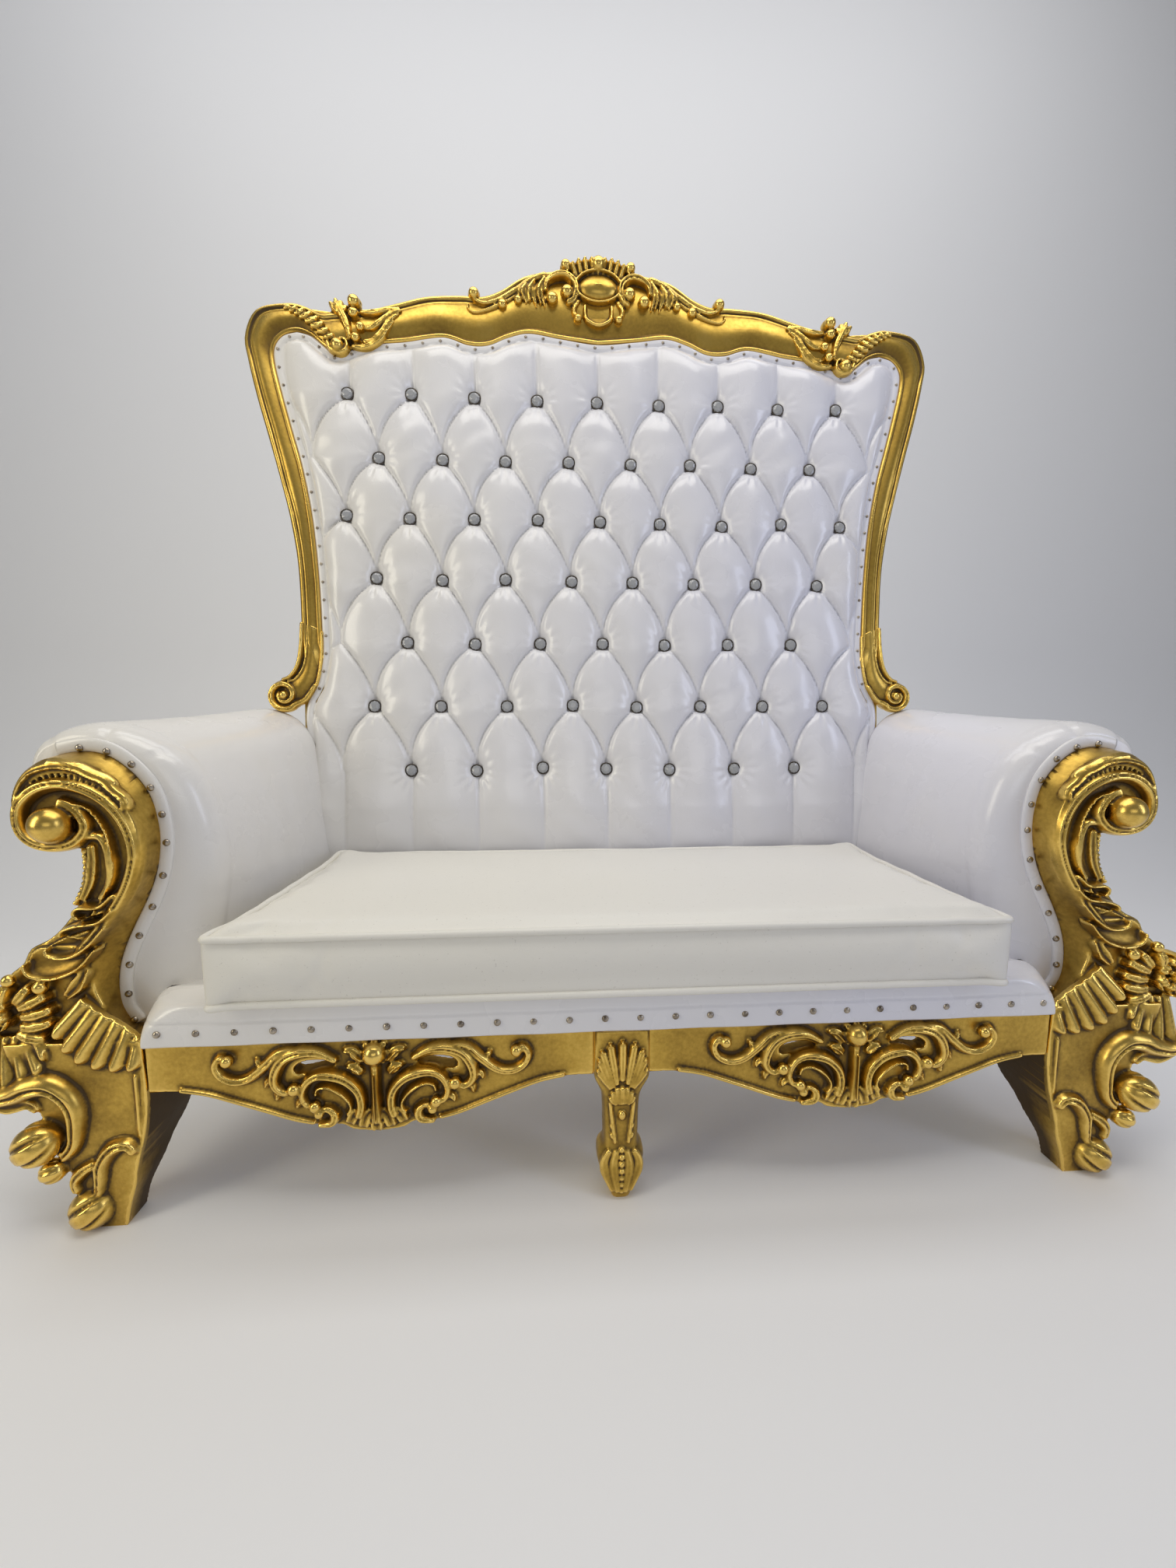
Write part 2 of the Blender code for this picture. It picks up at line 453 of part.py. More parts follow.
def back_frame():
    """The gilt frame round the back, its crest, ears and side scrolls in one piece."""
    stile = STILE_HALF + STILE_WIDTH / 2
    outer = [(stile, RAIL_BOTTOM)] + back_points(SCROLL_FOOT)
    outer += back_points(curve(OUTER_SIDE, 20)) + back_points(curve(TOP_EDGE, 12))
    inside = inner_outline()
    outline = outer + mirrored(outer[:-1], -1)[::-1] + mirrored(inside[:-1], -1) + inside[::-1]
    carving = Shell(back_place)
    carving.prism(outline, -BACK_FRAME_THICKNESS, 0.0)
    carving.ball(back_x(CENTRE_OVAL[0]), back_z(CENTRE_OVAL[1]), OVAL_HALF[0], 0.002, bands=6, sides=10,
                 stretch=OVAL_HALF[1] / OVAL_HALF[0])
    for path, lift, width, rise, rings in ((INNER_CREST, 0.007, 0.005, 0.008, 23), (SHIELD, 0.0, 0.006, 0.012, 8)):
        across = back_points([(x, z + lift) for x, z in path + mirrored(path[:-1], -1)[::-1]])
        carving.stroke(across, [width, width], rise, rings=rings, ridge=True)
    for side in (1, -1):
        line = lambda points: mirrored(back_points(points), side)
        scroll_x, scroll_z = SIDE_SCROLL
        coil = [(scroll_x + SIDE_SCROLL_RADIUS * (1 - k / 26) * cos(pi * (0.75 - k / 7)),
                 scroll_z + SIDE_SCROLL_RADIUS * (1 - k / 26) * sin(pi * (0.75 - k / 7))) for k in range(20)]
        disc = [(scroll_x + SIDE_SCROLL_RADIUS * cos(pi * k / 6), scroll_z + SIDE_SCROLL_RADIUS * sin(pi * k / 6))
                for k in range(12)]
        carving.prism(line(disc), -BACK_FRAME_THICKNESS / 2, 0.002)
        carving.stroke(line(SCROLL_NECK + coil), [0.007, 0.009, 0.009, 0.006], 0.014, rings=16)
        carving.stroke(line(OUTER_SIDE[1:]), [0.005, 0.006, 0.006], 0.008, rings=16, ridge=True)
        carving.stroke(line(TOP_EDGE[:-1]), [0.006, 0.007], 0.010, rings=10, ridge=True)
        for root, tip in CROWN:
            if side == 1 or root[0] > 0:
                carving.stroke(line([root, tip]), [0.006, 0.009, 0.008], 0.022, rings=3)
        carving.stroke(line(CENTRE_C), [0.008, 0.009, 0.008], 0.020, rings=9)
        for x, z, radius in [CROWN_BALL] + CENTRE_BALLS + CREST_BALLS + CORNER_BALLS:
            carving.ball(side * back_x(x), back_z(z), radius, 0.010, bands=3, sides=6)
        carving.stroke(line(SHIELD_LEG), [0.006, 0.009, 0.006], 0.014, rings=4, ridge=True)
        for leaf in CREST_LEAVES:
            carving.stroke(line(leaf), [0.007, 0.010, 0.004], 0.016, rings=4, ridge=True)
        carving.stroke(line(CREST_STEM), [0.009, 0.008, 0.005], 0.014, rings=7)
        carving.stroke(line(CREST_LOW_STEM), [0.006, 0.008, 0.005], 0.012, rings=6, ridge=True)
        carving.stroke(line(CORNER_LEAF), [0.006, 0.013, 0.014, 0.009], 0.016, rings=7)
        for root, tip in CORNER_LOBES:
            carving.stroke(line([root, tip]), [0.007, 0.008, 0.004], 0.012, rings=3, ridge=True)
        carving.stroke(line(CORNER_SPRAY), [0.010, 0.010, 0.006], 0.020, rings=4)
        for rib in CORNER_RIBS:
            carving.stroke(line(rib), [0.008, 0.008, 0.003], 0.012, rings=4, ridge=True)
    opening = Shell(back_place)
    opening.prism([(x, z) for x, z in inside + mirrored(inside[:-1], -1)[::-1]], -0.2, 0.2)
    below = block((-2 * BACK_HALF_WIDTH, -DEPTH, 0.0), (2 * BACK_HALF_WIDTH, DEPTH, RAIL_BOTTOM))
    return carved("back_frame", carving, BACK_TRIANGLES, [opening, below])


def shrunk(points, gap):
    """A closed outline moved inwards by a small gap, with mitred corners."""
    here = np.array(points, float)
    edge = np.roll(here, -1, axis=0) - here
    edge /= np.linalg.norm(edge, axis=1)[:, None]
    after = np.column_stack([-edge[:, 1], edge[:, 0]])
    before = np.roll(after, 1, axis=0)
    miter = (before + after) / (1 + (before * after).sum(axis=1))[:, None]
    following = np.roll(here, -1, axis=0)
    area = (here[:, 0] * following[:, 1] - following[:, 0] * here[:, 1]).sum()
    return [tuple(point) for point in here + np.sign(area) * gap * miter]


def back_upholstery():
    """The tufted pad's plain body in the frame's opening, and the cloth panel behind it."""
    inside = [(x, z) for x, z in inner_outline() if z > RAIL_BOTTOM]
    bottom = APRON_TOP + SOFT_GAP
    half = [(STILE_HALF - STILE_WIDTH / 2, bottom)] + inside
    outline = shrunk(half + mirrored(half[:-1], -1)[::-1], 2 * GAP)
    pad = Shell(back_place)
    pad.prism(outline, -BACK_PAD_THICKNESS, 0.0)
    solid("back_pad", pad.mesh("back_pad"), LEATHER)
    cover = Shell(back_place)
    cover.prism(outline, -BACK_PAD_THICKNESS - GAP - BACK_COVER_THICKNESS, -BACK_PAD_THICKNESS - GAP)
    solid("back_cover", cover.mesh("back_cover"), CLOTH)


# Apron motif, drawn about its own stem: x to one side, z down from the apron's top
MOTIF_STEM = [(0.000, -0.036), (0.000, -0.090), (0.000, -0.150)]
MOTIF_LEAVES = [[(0.018, -0.040), (0.036, -0.020), (0.052, -0.018)], [(0.020, -0.062), (0.034, -0.048), (0.048, -0.046)]]
UPPER_C = [(0.058, -0.036), (0.087, -0.020), (0.116, -0.017), (0.143, -0.027), (0.158, -0.049), (0.160, -0.072),
           (0.146, -0.086), (0.130, -0.080)]
S_ARM = [(0.115, -0.012), (0.150, -0.017), (0.174, -0.038), (0.199, -0.058), (0.222, -0.063), (0.243, -0.054),
         (0.252, -0.036), (0.243, -0.022), (0.232, -0.027)]
LOWER_C = [(0.031, -0.139), (0.024, -0.113), (0.030, -0.086), (0.053, -0.065), (0.086, -0.058), (0.108, -0.068),
           (0.118, -0.090), (0.112, -0.108), (0.098, -0.112)]
INNER_C = [(0.050, -0.133), (0.041, -0.116), (0.053, -0.095), (0.075, -0.081), (0.094, -0.083), (0.098, -0.098)]
LOW_CURL = [(0.098, -0.147), (0.073, -0.143), (0.068, -0.128), (0.080, -0.118), (0.092, -0.124)]
FAN_LOBES = [(0.024, -0.160), (0.046, -0.152)]
PIERCING = [(0.062, -0.046), (0.088, -0.037), (0.118, -0.039), (0.133, -0.050), (0.127, -0.060), (0.092, -0.054)]
APRON_END_DROP = -0.082
APRON_EDGE = [(0.315, -0.083), (0.270, -0.092), (0.225, -0.108), (0.180, -0.125), (0.135, -0.142),
              (0.100, -0.151), (0.060, -0.153), (0.040, -0.163), (0.000, -0.168)]
DRAWN_APRON_HALF = 0.362


def apron(name, side):
    """One carved front rail between the centre leg and an arm front."""
    near = CENTRE_LEG_HALF + GAP
    far = APRON_HALF_RUN - GAP
    middle = (near + far) / 2
    stretch = (far - near) / 2 / DRAWN_APRON_HALF
    place = lambda x, z, out: (side * (middle + x), APRON_FACE - out, APRON_TOP + z)
    edge = [(x * stretch, z) for x, z in curve([(DRAWN_APRON_HALF, APRON_END_DROP)] + APRON_EDGE, 16)]
    spare = (far - near) / 2 + VOXEL
    edge[0] = (spare, edge[0][1])
    outline = edge + [(-x, z) for x, z in edge[:-1]][::-1] + [(-spare, VOXEL), (spare, VOXEL)]
    carving = Shell(place)
    carving.prism(outline, -APRON_THICKNESS, 0.0)
    carving.ball(0.0, -0.024, 0.021, 0.006, bands=4, sides=8)
    carving.stroke(MOTIF_STEM, [0.010, 0.009, 0.013], 0.018, rings=4)
    for x, z in FAN_LOBES:
        for turn in (1, -1):
            carving.stroke([(turn * x * 0.8, z + 0.022), (turn * x, z + 0.002)], [0.008, 0.010], 0.012, rings=2)
    for turn in (1, -1):
        line = lambda points: [(turn * x, z) for x, z in points]
        for leaf in MOTIF_LEAVES:
            carving.stroke(line(leaf), [0.008, 0.010, 0.005], 0.014, rings=3, ridge=True)
        carving.stroke(line(UPPER_C), [0.006, 0.011, 0.011, 0.006], 0.016, rings=9)
        carving.stroke(line(S_ARM), [0.004, 0.009, 0.008, 0.007], 0.014, rings=9)
        carving.stroke(line(LOWER_C), [0.009, 0.010, 0.006], 0.016, rings=9)
        carving.stroke(line(INNER_C), [0.005, 0.007, 0.004], 0.012, rings=5, ridge=True)
        carving.stroke(line(LOW_CURL), [0.006, 0.009, 0.005], 0.014, rings=5, ridge=True)
        bead = [(turn * x * stretch, z + 0.006) for x, z in APRON_EDGE[:6]]
        carving.stroke(bead, [0.004, 0.004], 0.006, rings=6, ridge=True)
    piercings = Shell(place)
    for turn in (1, -1):
        piercings.prism([(turn * x, z) for x, z in PIERCING], -2 * APRON_THICKNESS, APRON_THICKNESS)
    trims = [piercings, block((0.0, -DEPTH, 0.0), (near, DEPTH, HEIGHT), side),
             block((far, -DEPTH, 0.0), (2 * far, DEPTH, HEIGHT), side),
             block((0.0, -DEPTH, APRON_TOP), (2 * far, DEPTH, HEIGHT), side)]
    return carved(name, carving, APRON_TRIANGLES, trims)


# Centre leg: share of the height below the apron's top, half width, half depth
CENTRE_LEG_LEVELS = [(1.02, 1.00, 1.00), (0.93, 0.98, 1.00), (0.80, 0.74, 0.90), (0.62, 0.67, 0.84), (0.40, 0.61, 0.80),
                     (0.31, 0.62, 0.80), (0.26, 0.84, 0.92), (0.20, 0.86, 0.94), (0.10, 0.66, 0.80), (-0.03, 0.26, 0.40)]


def centre_leg():
    """The middle front leg, with a leaf at its head and a bulb foot."""
    height = APRON_TOP
    carving = Shell(lambda x, z, out: (x, APRON_FACE - out, z * height))
    rings = []
    for share, wide, deep in CENTRE_LEG_LEVELS:
        half = CENTRE_LEG_HALF * wide
        front = CENTRE_LEG_FORWARD * deep
        back = front - CENTRE_LEG_DEPTH * deep
        side = (front + back) / 2
        rings.append([(half, share, side), (half * 0.6, share, front), (-half * 0.6, share, front),
                      (-half, share, side), (-half, share, back), (half, share, back)])
    carving.skin(rings)
    carving.stroke([(0.0, 0.97), (0.0, 0.86)], [0.016, 0.022], 0.008, rings=3, base=CENTRE_LEG_FORWARD)
    carving.stroke([(0.0, 0.84), (0.0, 0.74), (0.0, 0.64)], [0.010, 0.016, 0.007], 0.008, rings=4, ridge=True,
                   base=CENTRE_LEG_FORWARD * 0.8)
    reach = 4 * CENTRE_LEG_HALF
    trims = [block((-reach, -DEPTH, -0.2), (reach, DEPTH, 0.0)), block((-reach, -DEPTH, APRON_TOP), (reach, DEPTH, HEIGHT)),
             block((CENTRE_LEG_HALF, -DEPTH, -0.3), (reach, DEPTH, 2 * HEIGHT)),
             block((CENTRE_LEG_HALF, -DEPTH, -0.3), (reach, DEPTH, 2 * HEIGHT), -1)]
    return carved("centre_leg", carving, CENTRE_LEG_TRIANGLES, trims)


def seat():
    """The loose box cushion and the upholstered deck that it lies on."""
    back = back_y(CUSHION_BOTTOM) - SOFT_GAP
    rings = []
    for y, half, thick in ((FRONT, CUSHION_FRONT_HALF, CUSHION_FRONT_THICKNESS),
                           (back, CUSHION_BACK_HALF, CUSHION_BACK_THICKNESS)):
        rings.append([(-half, y, CUSHION_BOTTOM), (half, y, CUSHION_BOTTOM), (half, y, CUSHION_BOTTOM + thick),
                      (-half, y, CUSHION_BOTTOM + thick)])
    cushion = loft("seat_cushion", rings, LEATHER)
    rounding = cushion.modifiers.new("rounding", "BEVEL")
    rounding.width = CUSHION_ROUNDING
    rounding.segments = 2

    strip_back = ARM_FACE + ARM_PLATE - GAP
    wide = APRON_HALF_RUN - GAP
    behind = strip_back + PAD_ROLL_SETBACK
    half_plan = [(wide, DECK_FACE), (wide, strip_back), (PAD_INNER_FRONT - SOFT_GAP, behind),
                 (PAD_INNER_BACK - SOFT_GAP, back_y(APRON_TOP) - SOFT_GAP)]
    plan = half_plan + [(-x, y) for x, y in half_plan][::-1]
    low = [(x, y, APRON_TOP + GAP) for x, y in plan]
    high = [(x, y, CUSHION_BOTTOM - GAP) for x, y in plan]
    loft("seat_deck", [low, high], LEATHER)


def rear_structure():
    """Rear legs, the rear rail between them and the two side rails: plain gilt wood."""
    rail_top = APRON_TOP - GAP
    top_y = back_y(RAIL_BOTTOM)
    half = STILE_HALF - STILE_WIDTH / 2 - GAP
    rail = []
    face = back_y(APRON_TOP)
    for x in (-half, half):
        rail.append([(x, face, RAIL_BOTTOM), (x, face + BACK_FRAME_THICKNESS, RAIL_BOTTOM),
                     (x, face + BACK_FRAME_THICKNESS, rail_top), (x, face, rail_top)])
    loft("rear_rail", rail, GOLD)
    for side, word in ((-1, "left"), (1, "right")):
        levels = []
        for share in np.linspace(0, 1, REAR_LEG_LEVELS):
            z = (RAIL_BOTTOM - GAP) * (1 - share)
            far = top_y + BACK_FRAME_THICKNESS + (DEPTH / 2 - top_y - BACK_FRAME_THICKNESS) * share**REAR_LEG_SWEEP
            near = far - REAR_LEG_DEPTH
            inner = STILE_HALF - STILE_WIDTH / 2 - REAR_LEG_TOE_IN * share
            outer = STILE_HALF + STILE_WIDTH / 2 + REAR_LEG_TOE_OUT * share
            levels.append([(side * inner, near, z), (side * outer, near, z), (side * outer, far, z),
                           (side * inner, far, z)])
        loft(word + "_rear_leg", levels, GOLD)
        front_y = APRON_FACE + FRONT_LEG_DEPTH + GAP
        rear_y = top_y - GAP - (REAR_LEG_DEPTH - BACK_FRAME_THICKNESS)
        rings = []
        for y, outer in ((front_y, APRON_HALF_RUN), (rear_y, STILE_HALF + STILE_WIDTH / 2)):
            inner = outer - SIDE_RAIL_WIDTH
            rings.append([(side * inner, y, RAIL_BOTTOM), (side * outer, y, RAIL_BOTTOM),
                          (side * outer, y, ARM_PAD_BOTTOM - GAP), (side * inner, y, ARM_PAD_BOTTOM - GAP)])
        loft(word + "_side_rail", rings, GOLD)


def build():
    for old in list(bpy.data.objects):
        bpy.data.objects.remove(old, do_unlink=True)
    for side, word in ((-1, "left"), (1, "right")):
        arm_front(word + "_arm_front", side)
        arm_pad(word + "_arm_pad", side)
        apron(word + "_apron", side)
    centre_leg()
    back_frame()
    back_upholstery()
    seat()
    rear_structure()


build()
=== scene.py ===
# %% [markdown]
# # A two-seat throne in gilded carving and tufted white leather
#
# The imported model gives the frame: where every piece sits and how big it is. This file gives the looks.
# Each visible surface is worked out with numpy, as a shape that depends on one or two parameters, and the
# same few helpers serve the whole throne. Carving is made as many small closed forms, such as scrolls, leaves
# and beads, which are then fused into one skin, as a carver's strokes end up in one piece of wood.

# %% Load the frame
import json
from math import pi
import bpy
import numpy as np
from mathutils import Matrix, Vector
from mathutils.bvhtree import BVHTree

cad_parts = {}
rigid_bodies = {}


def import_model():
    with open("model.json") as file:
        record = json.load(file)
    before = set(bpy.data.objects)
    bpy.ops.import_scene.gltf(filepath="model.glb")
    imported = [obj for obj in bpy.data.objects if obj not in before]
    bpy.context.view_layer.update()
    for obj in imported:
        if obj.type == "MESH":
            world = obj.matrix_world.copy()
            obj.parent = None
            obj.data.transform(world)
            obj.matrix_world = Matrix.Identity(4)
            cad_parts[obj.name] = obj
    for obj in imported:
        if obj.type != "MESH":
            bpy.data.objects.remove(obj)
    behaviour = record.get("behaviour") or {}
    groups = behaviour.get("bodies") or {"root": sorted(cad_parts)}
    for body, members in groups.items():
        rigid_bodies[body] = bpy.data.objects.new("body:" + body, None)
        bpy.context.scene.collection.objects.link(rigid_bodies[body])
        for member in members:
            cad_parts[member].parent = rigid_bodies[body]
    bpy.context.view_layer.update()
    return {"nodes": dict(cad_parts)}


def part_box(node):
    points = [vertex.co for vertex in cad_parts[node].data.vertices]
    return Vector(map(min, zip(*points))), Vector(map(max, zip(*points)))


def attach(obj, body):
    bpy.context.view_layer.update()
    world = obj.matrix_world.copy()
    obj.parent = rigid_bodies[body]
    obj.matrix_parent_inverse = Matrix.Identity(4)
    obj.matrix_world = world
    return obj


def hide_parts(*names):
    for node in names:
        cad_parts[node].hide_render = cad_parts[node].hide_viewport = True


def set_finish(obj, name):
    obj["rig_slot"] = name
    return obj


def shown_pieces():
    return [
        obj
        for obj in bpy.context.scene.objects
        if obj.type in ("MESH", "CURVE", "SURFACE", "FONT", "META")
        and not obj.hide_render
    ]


for old in list(bpy.data.objects):
    bpy.data.objects.remove(old, do_unlink=True)
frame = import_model()

# %% [markdown]
# ## Sizes that come from the frame
#
# A piece that is dressed must stay where the solid is. So the main sizes are read from the nodes' boxes, and
# only sizes that no box shows, such as how far one face stands behind another, are typed here.

# %% Read the main sizes
def span(node):
    """The lowest and highest corner of a node, as numpy arrays."""
    low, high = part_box(node)
    return np.array(low), np.array(high)


cushion_low, cushion_high = span("seat_cushion")
apron_high = span("right_apron")[1]
frame_high = span("back_frame")[1]

FRONT = cushion_low[1]
GAP = 0.0004
APRON_HALF_RUN = apron_high[0] + GAP
APRON_TOP = apron_high[2]
ARM_HEIGHT = 0.783
CREST_HEIGHT = frame_high[2]
CUSHION_BOTTOM = cushion_low[2]
ARM_FACE = FRONT + 0.075
ARM_PLATE = 0.040
APRON_FACE = FRONT + 0.055
APRON_THICKNESS = 0.030
DECK_FACE = FRONT + 0.040
FRONT_LEG_DEPTH = 0.150
BACK_FACE = FRONT + 0.437
BACK_PIVOT_HEIGHT = 0.55
BACK_RAKE = 0.10
BACK_THICKNESS = 0.060
STILE_HALF = 0.632
PAD_INNER_FRONT = 0.700
PAD_INNER_BACK = 0.600
PAD_ROLL_SETBACK = 0.055
ARM_PAD_BOTTOM = span("left_arm_pad")[0][2]
SIDES = ((-1, "left"), (1, "right"))
print("front %.3f, arm height %.3f, crest %.3f, apron end %.3f" % (FRONT, ARM_HEIGHT, CREST_HEIGHT, APRON_HALF_RUN))

# %% [markdown]
# ## The camera
#
# The photograph was taken from close by with a very wide lens, a little above the arms, and slightly to the
# left. Its place and lens were solved from pairs of mirrored points on the throne.

# %% Place the camera
CAMERA_PLACE = (-0.123, FRONT - 0.882, 0.841)
CAMERA_PITCH = np.radians(6.88)
CAMERA_YAW = np.radians(4.008)
LENS_IN_PIXELS = 757.0
LONG_SIDE_PIXELS = 2016.0
SENSOR = 36.0

camera_data = bpy.data.cameras.new("camera")
camera_data.sensor_width = SENSOR
camera_data.lens = SENSOR * LENS_IN_PIXELS / LONG_SIDE_PIXELS
camera = bpy.data.objects.new("camera", camera_data)
camera.location = CAMERA_PLACE
camera.rotation_euler = (pi / 2 - CAMERA_PITCH, 0.0, -CAMERA_YAW)
bpy.context.scene.collection.objects.link(camera)
bpy.context.scene.camera = camera
print("camera at", [round(float(v), 3) for v in CAMERA_PLACE], "lens %.2f mm" % camera_data.lens)

# %% [markdown]
# ## Curves and skins
#
# Nearly every carved form here is a closed cross-section carried along a path. The path is a smooth curve
# through a few drawn points. Drawing only the turning points keeps each pattern short enough to read, and the
# curve fills in the rest. All the points of a form are worked out at once, as one array.

# %% Smooth curves through drawn points
def dense_curve(points, per_span=24):
    """Catmull-Rom spline: between drawn points b and c each coordinate is a cubic that leaves b along
    (c - a) / 2 and reaches c along (d - b) / 2, for any number of coordinates."""
    given = np.array(points, float)
    ends = np.vstack([2 * given[0] - given[1], given, 2 * given[-1] - given[-2]])
    steps = np.linspace(0, len(given) - 1, per_span * len(given))
    index = np.minimum(steps.astype(int), len(given) - 2)
    t = (steps - index)[:, None]
    a, b, c, d = (ends[index + k] for k in range(4))
    return 0.5 * (2 * b + (c - a) * t + (2 * a - 5 * b + 4 * c - d) * t**2 + (3 * b - a - 3 * c + d) * t**3)


def even_steps(line, count):
    """Points at equal steps along a line of close points."""
    run = np.concatenate([[0], np.cumsum(np.linalg.norm(np.diff(line, axis=0), axis=1))])
    wanted = np.linspace(0, run[-1], count)
    return np.column_stack([np.interp(wanted, run, line[:, k]) for k in range(line.shape[1])])


def resample(points, count):
    """The smooth curve through the points, at equal steps of its own length."""
    return even_steps(dense_curve(points), count)


def length_of(points):
    """The curve's length."""
    return float(np.linalg.norm(np.diff(dense_curve(points), axis=0), axis=1).sum())


def mirrored(points, side):
    """The pattern as drawn for +X, or its mirror image."""
    return np.array(points, float) * (side, 1)


print("a quarter circle's length, from five points:",
      round(length_of([(np.cos(a), np.sin(a)) for a in np.linspace(0, pi / 2, 5)]), 4))

# %% [markdown]
# A cross-section is a row of pairs: how far across, from -1 to 1, and how high, from 0 to 1. A round section
# makes a moulding, a fluted one makes a stem or a pleat, a cupped one makes a petal with raised edges, and a
# ribbed one makes an acanthus leaf.

# %% Cross-sections for mouldings, stems, petals and leaves
ACROSS = np.sin(np.linspace(-pi / 2, pi / 2, 23))
DOME = np.sqrt(np.clip(1 - ACROSS**2, 0, 1))
SHOULDER = 1 - ACROSS**8
ROUND = DOME
FLUTED = DOME * (1 - 0.30 * (0.5 - 0.5 * np.cos(4 * pi * ACROSS)))
CUPPED = SHOULDER * (0.45 + 0.55 * np.abs(ACROSS)**1.6)
RIBBED = SHOULDER * (0.42 + 0.50 * np.exp(-(ACROSS / 0.20)**2) + 0.30 * ACROSS**2)
RIDGED = 1 - np.abs(ACROSS)**1.3
GROOVED = DOME * (1 - 0.42 * np.exp(-((ACROSS - 0.15) / 0.16)**2))
PETAL = DOME * (1 - 0.20 * np.exp(-(ACROSS / 0.22)**2))
print("seven sections of", len(ACROSS), "points")

# %% Closed forms gathered in panel coordinates
SINK = 0.006


class Carving:
    """Closed forms in panel coordinates: x, height z and distance out of the panel."""

    def __init__(self):
        self.points = []
        self.faces = []
        self.total = 0

    def add(self, points, faces):
        """Takes over a form's points and faces."""
        self.points.append(points)
        self.faces += [tuple(face) for face in (np.array(faces) + self.total).tolist()]
        self.total += len(points)

    def skin(self, rings):
        """Rings of points joined into a tube with a flat cap at each end."""
        count, size = rings.shape[:2]
        here = np.arange(count * size).reshape(count, size)
        beside = np.roll(here, -1, axis=1)
        quads = np.stack([here[:-1], beside[:-1], beside[1:], here[1:]], axis=-1).reshape(-1, 4)
        base = self.total
        self.add(rings.reshape(-1, 3), quads)
        self.faces += [tuple((here[0] + base)[::-1].tolist()), tuple((here[-1] + base).tolist())]

    def stroke(self, path, widths, rise, base=0.0, section=ROUND, rings=0, point=False, lift=0.55):
        """A section carried along a path: place(s, a) = path(s) + a * half(s) * sideways(s), and
        out(s, a) = base + rise * up(s) * section(a). The half width runs through the given widths, and both
        ends close in a quarter circle, or in a point."""
        count = rings or max(8, int(length_of(path) / 0.0035))
        line = resample(path, count)
        along = np.gradient(line, axis=0)
        along /= np.linalg.norm(along, axis=1)[:, None]
        share = np.linspace(0, 1, count)
        half = np.interp(share, np.linspace(0, 1, len(widths)), widths)
        run = share * length_of(path)
        near_end = np.minimum(run, run[-1] - run) / np.maximum(half, 1e-4)
        close = np.clip(near_end if point else np.sqrt(np.clip(1 - (1 - np.clip(near_end, 0, 1))**2, 0, 1)), 0.12, 1)
        up = (lift + (1 - lift) * half / max(widths)) * close
        half = half * close
        across = np.concatenate([ACROSS, [0.9, -0.9]])
        height = np.concatenate([rise * section, [0, 0]])
        rings_of = np.empty((count, len(across), 3))
        rings_of[..., 0] = line[:, None, 0] - along[:, None, 1] * across * half[:, None]
        rings_of[..., 1] = line[:, None, 1] + along[:, None, 0] * across * half[:, None]
        rings_of[..., 2] = base + height * up[:, None]
        rings_of[:, -2:, 2] = base - SINK
        self.skin(rings_of)

    def ball(self, x, z, radius, out=0.0, stretch=1.0, bands=12, sides=18, bulge=1.0):
        """A ball, or an egg when its height is stretched: rings of radius r * sin(t) at height -r * cos(t), which
        stand out of the panel by a share named bulge."""
        t = np.linspace(0.06, pi - 0.06, bands)[:, None]
        turn = np.linspace(0, 2 * pi, sides, endpoint=False)[None, :]
        reach = radius * np.sin(t)
        rings = np.stack([x + reach * np.cos(turn), z - radius * stretch * np.cos(t) + 0 * turn,
                          out + bulge * reach * np.sin(turn)], axis=-1)
        self.skin(rings)

    def bud(self, centre, radius, out, heading, lobes=6):
        """A ball with grooves that meet at its tip: reach = radius * sin(t) * (1 - dip * sin(t)), where dip is deep
        only beside sin(lobes * turn / 2) = 0."""
        t = np.linspace(0.06, pi - 0.06, 30)[:, None]
        turn = np.linspace(0, 2 * pi, 72, endpoint=False)[None, :]
        dip = 0.24 * np.exp(-(np.sin(lobes * turn / 2) / 0.30)**2)
        reach = radius * np.sin(t) * (1 - dip * np.sin(t))
        along = -1.10 * radius * np.cos(t)
        across = reach * np.cos(turn)
        self.skin(np.stack([centre[0] + along * np.cos(heading) - across * np.sin(heading),
                            centre[1] + along * np.sin(heading) + across * np.cos(heading),
                            out + reach * np.sin(turn)], axis=-1))

    def sheet(self, high, low, rise, base, across, swell):
        """A closed sheet between two edges: place = high + a (low - high), out = base + rise * swell * across(a)."""
        a = np.linspace(0, 1, len(across))[None, :, None]
        place = high[:, None] * (1 - a) + low[:, None] * a
        out = base + rise * swell[:, None] * across[None, :]
        front = np.concatenate([place, out[..., None]], axis=2)
        behind = np.concatenate([place[:, ::-1], np.full(out.shape + (1,), base - SINK)], axis=2)
        self.skin(np.concatenate([front, behind], axis=1))

    def shell(self, ring, rise):
        """A bowl from its root to its tip, low in the middle and turned up along its long lower edge."""
        low, high = resample(ring[:5], 44), resample([ring[0], ring[5], ring[4]], 44)
        a = np.linspace(0, 1, 16)
        self.sheet(high, low, rise, 0.0, 0.16 + 0.30 * (1 - a)**3 + 0.74 * a**4, np.ones(44))
        self.stroke(ring[:5], [0.0028, 0.0046, 0.0040], rise * 1.15)

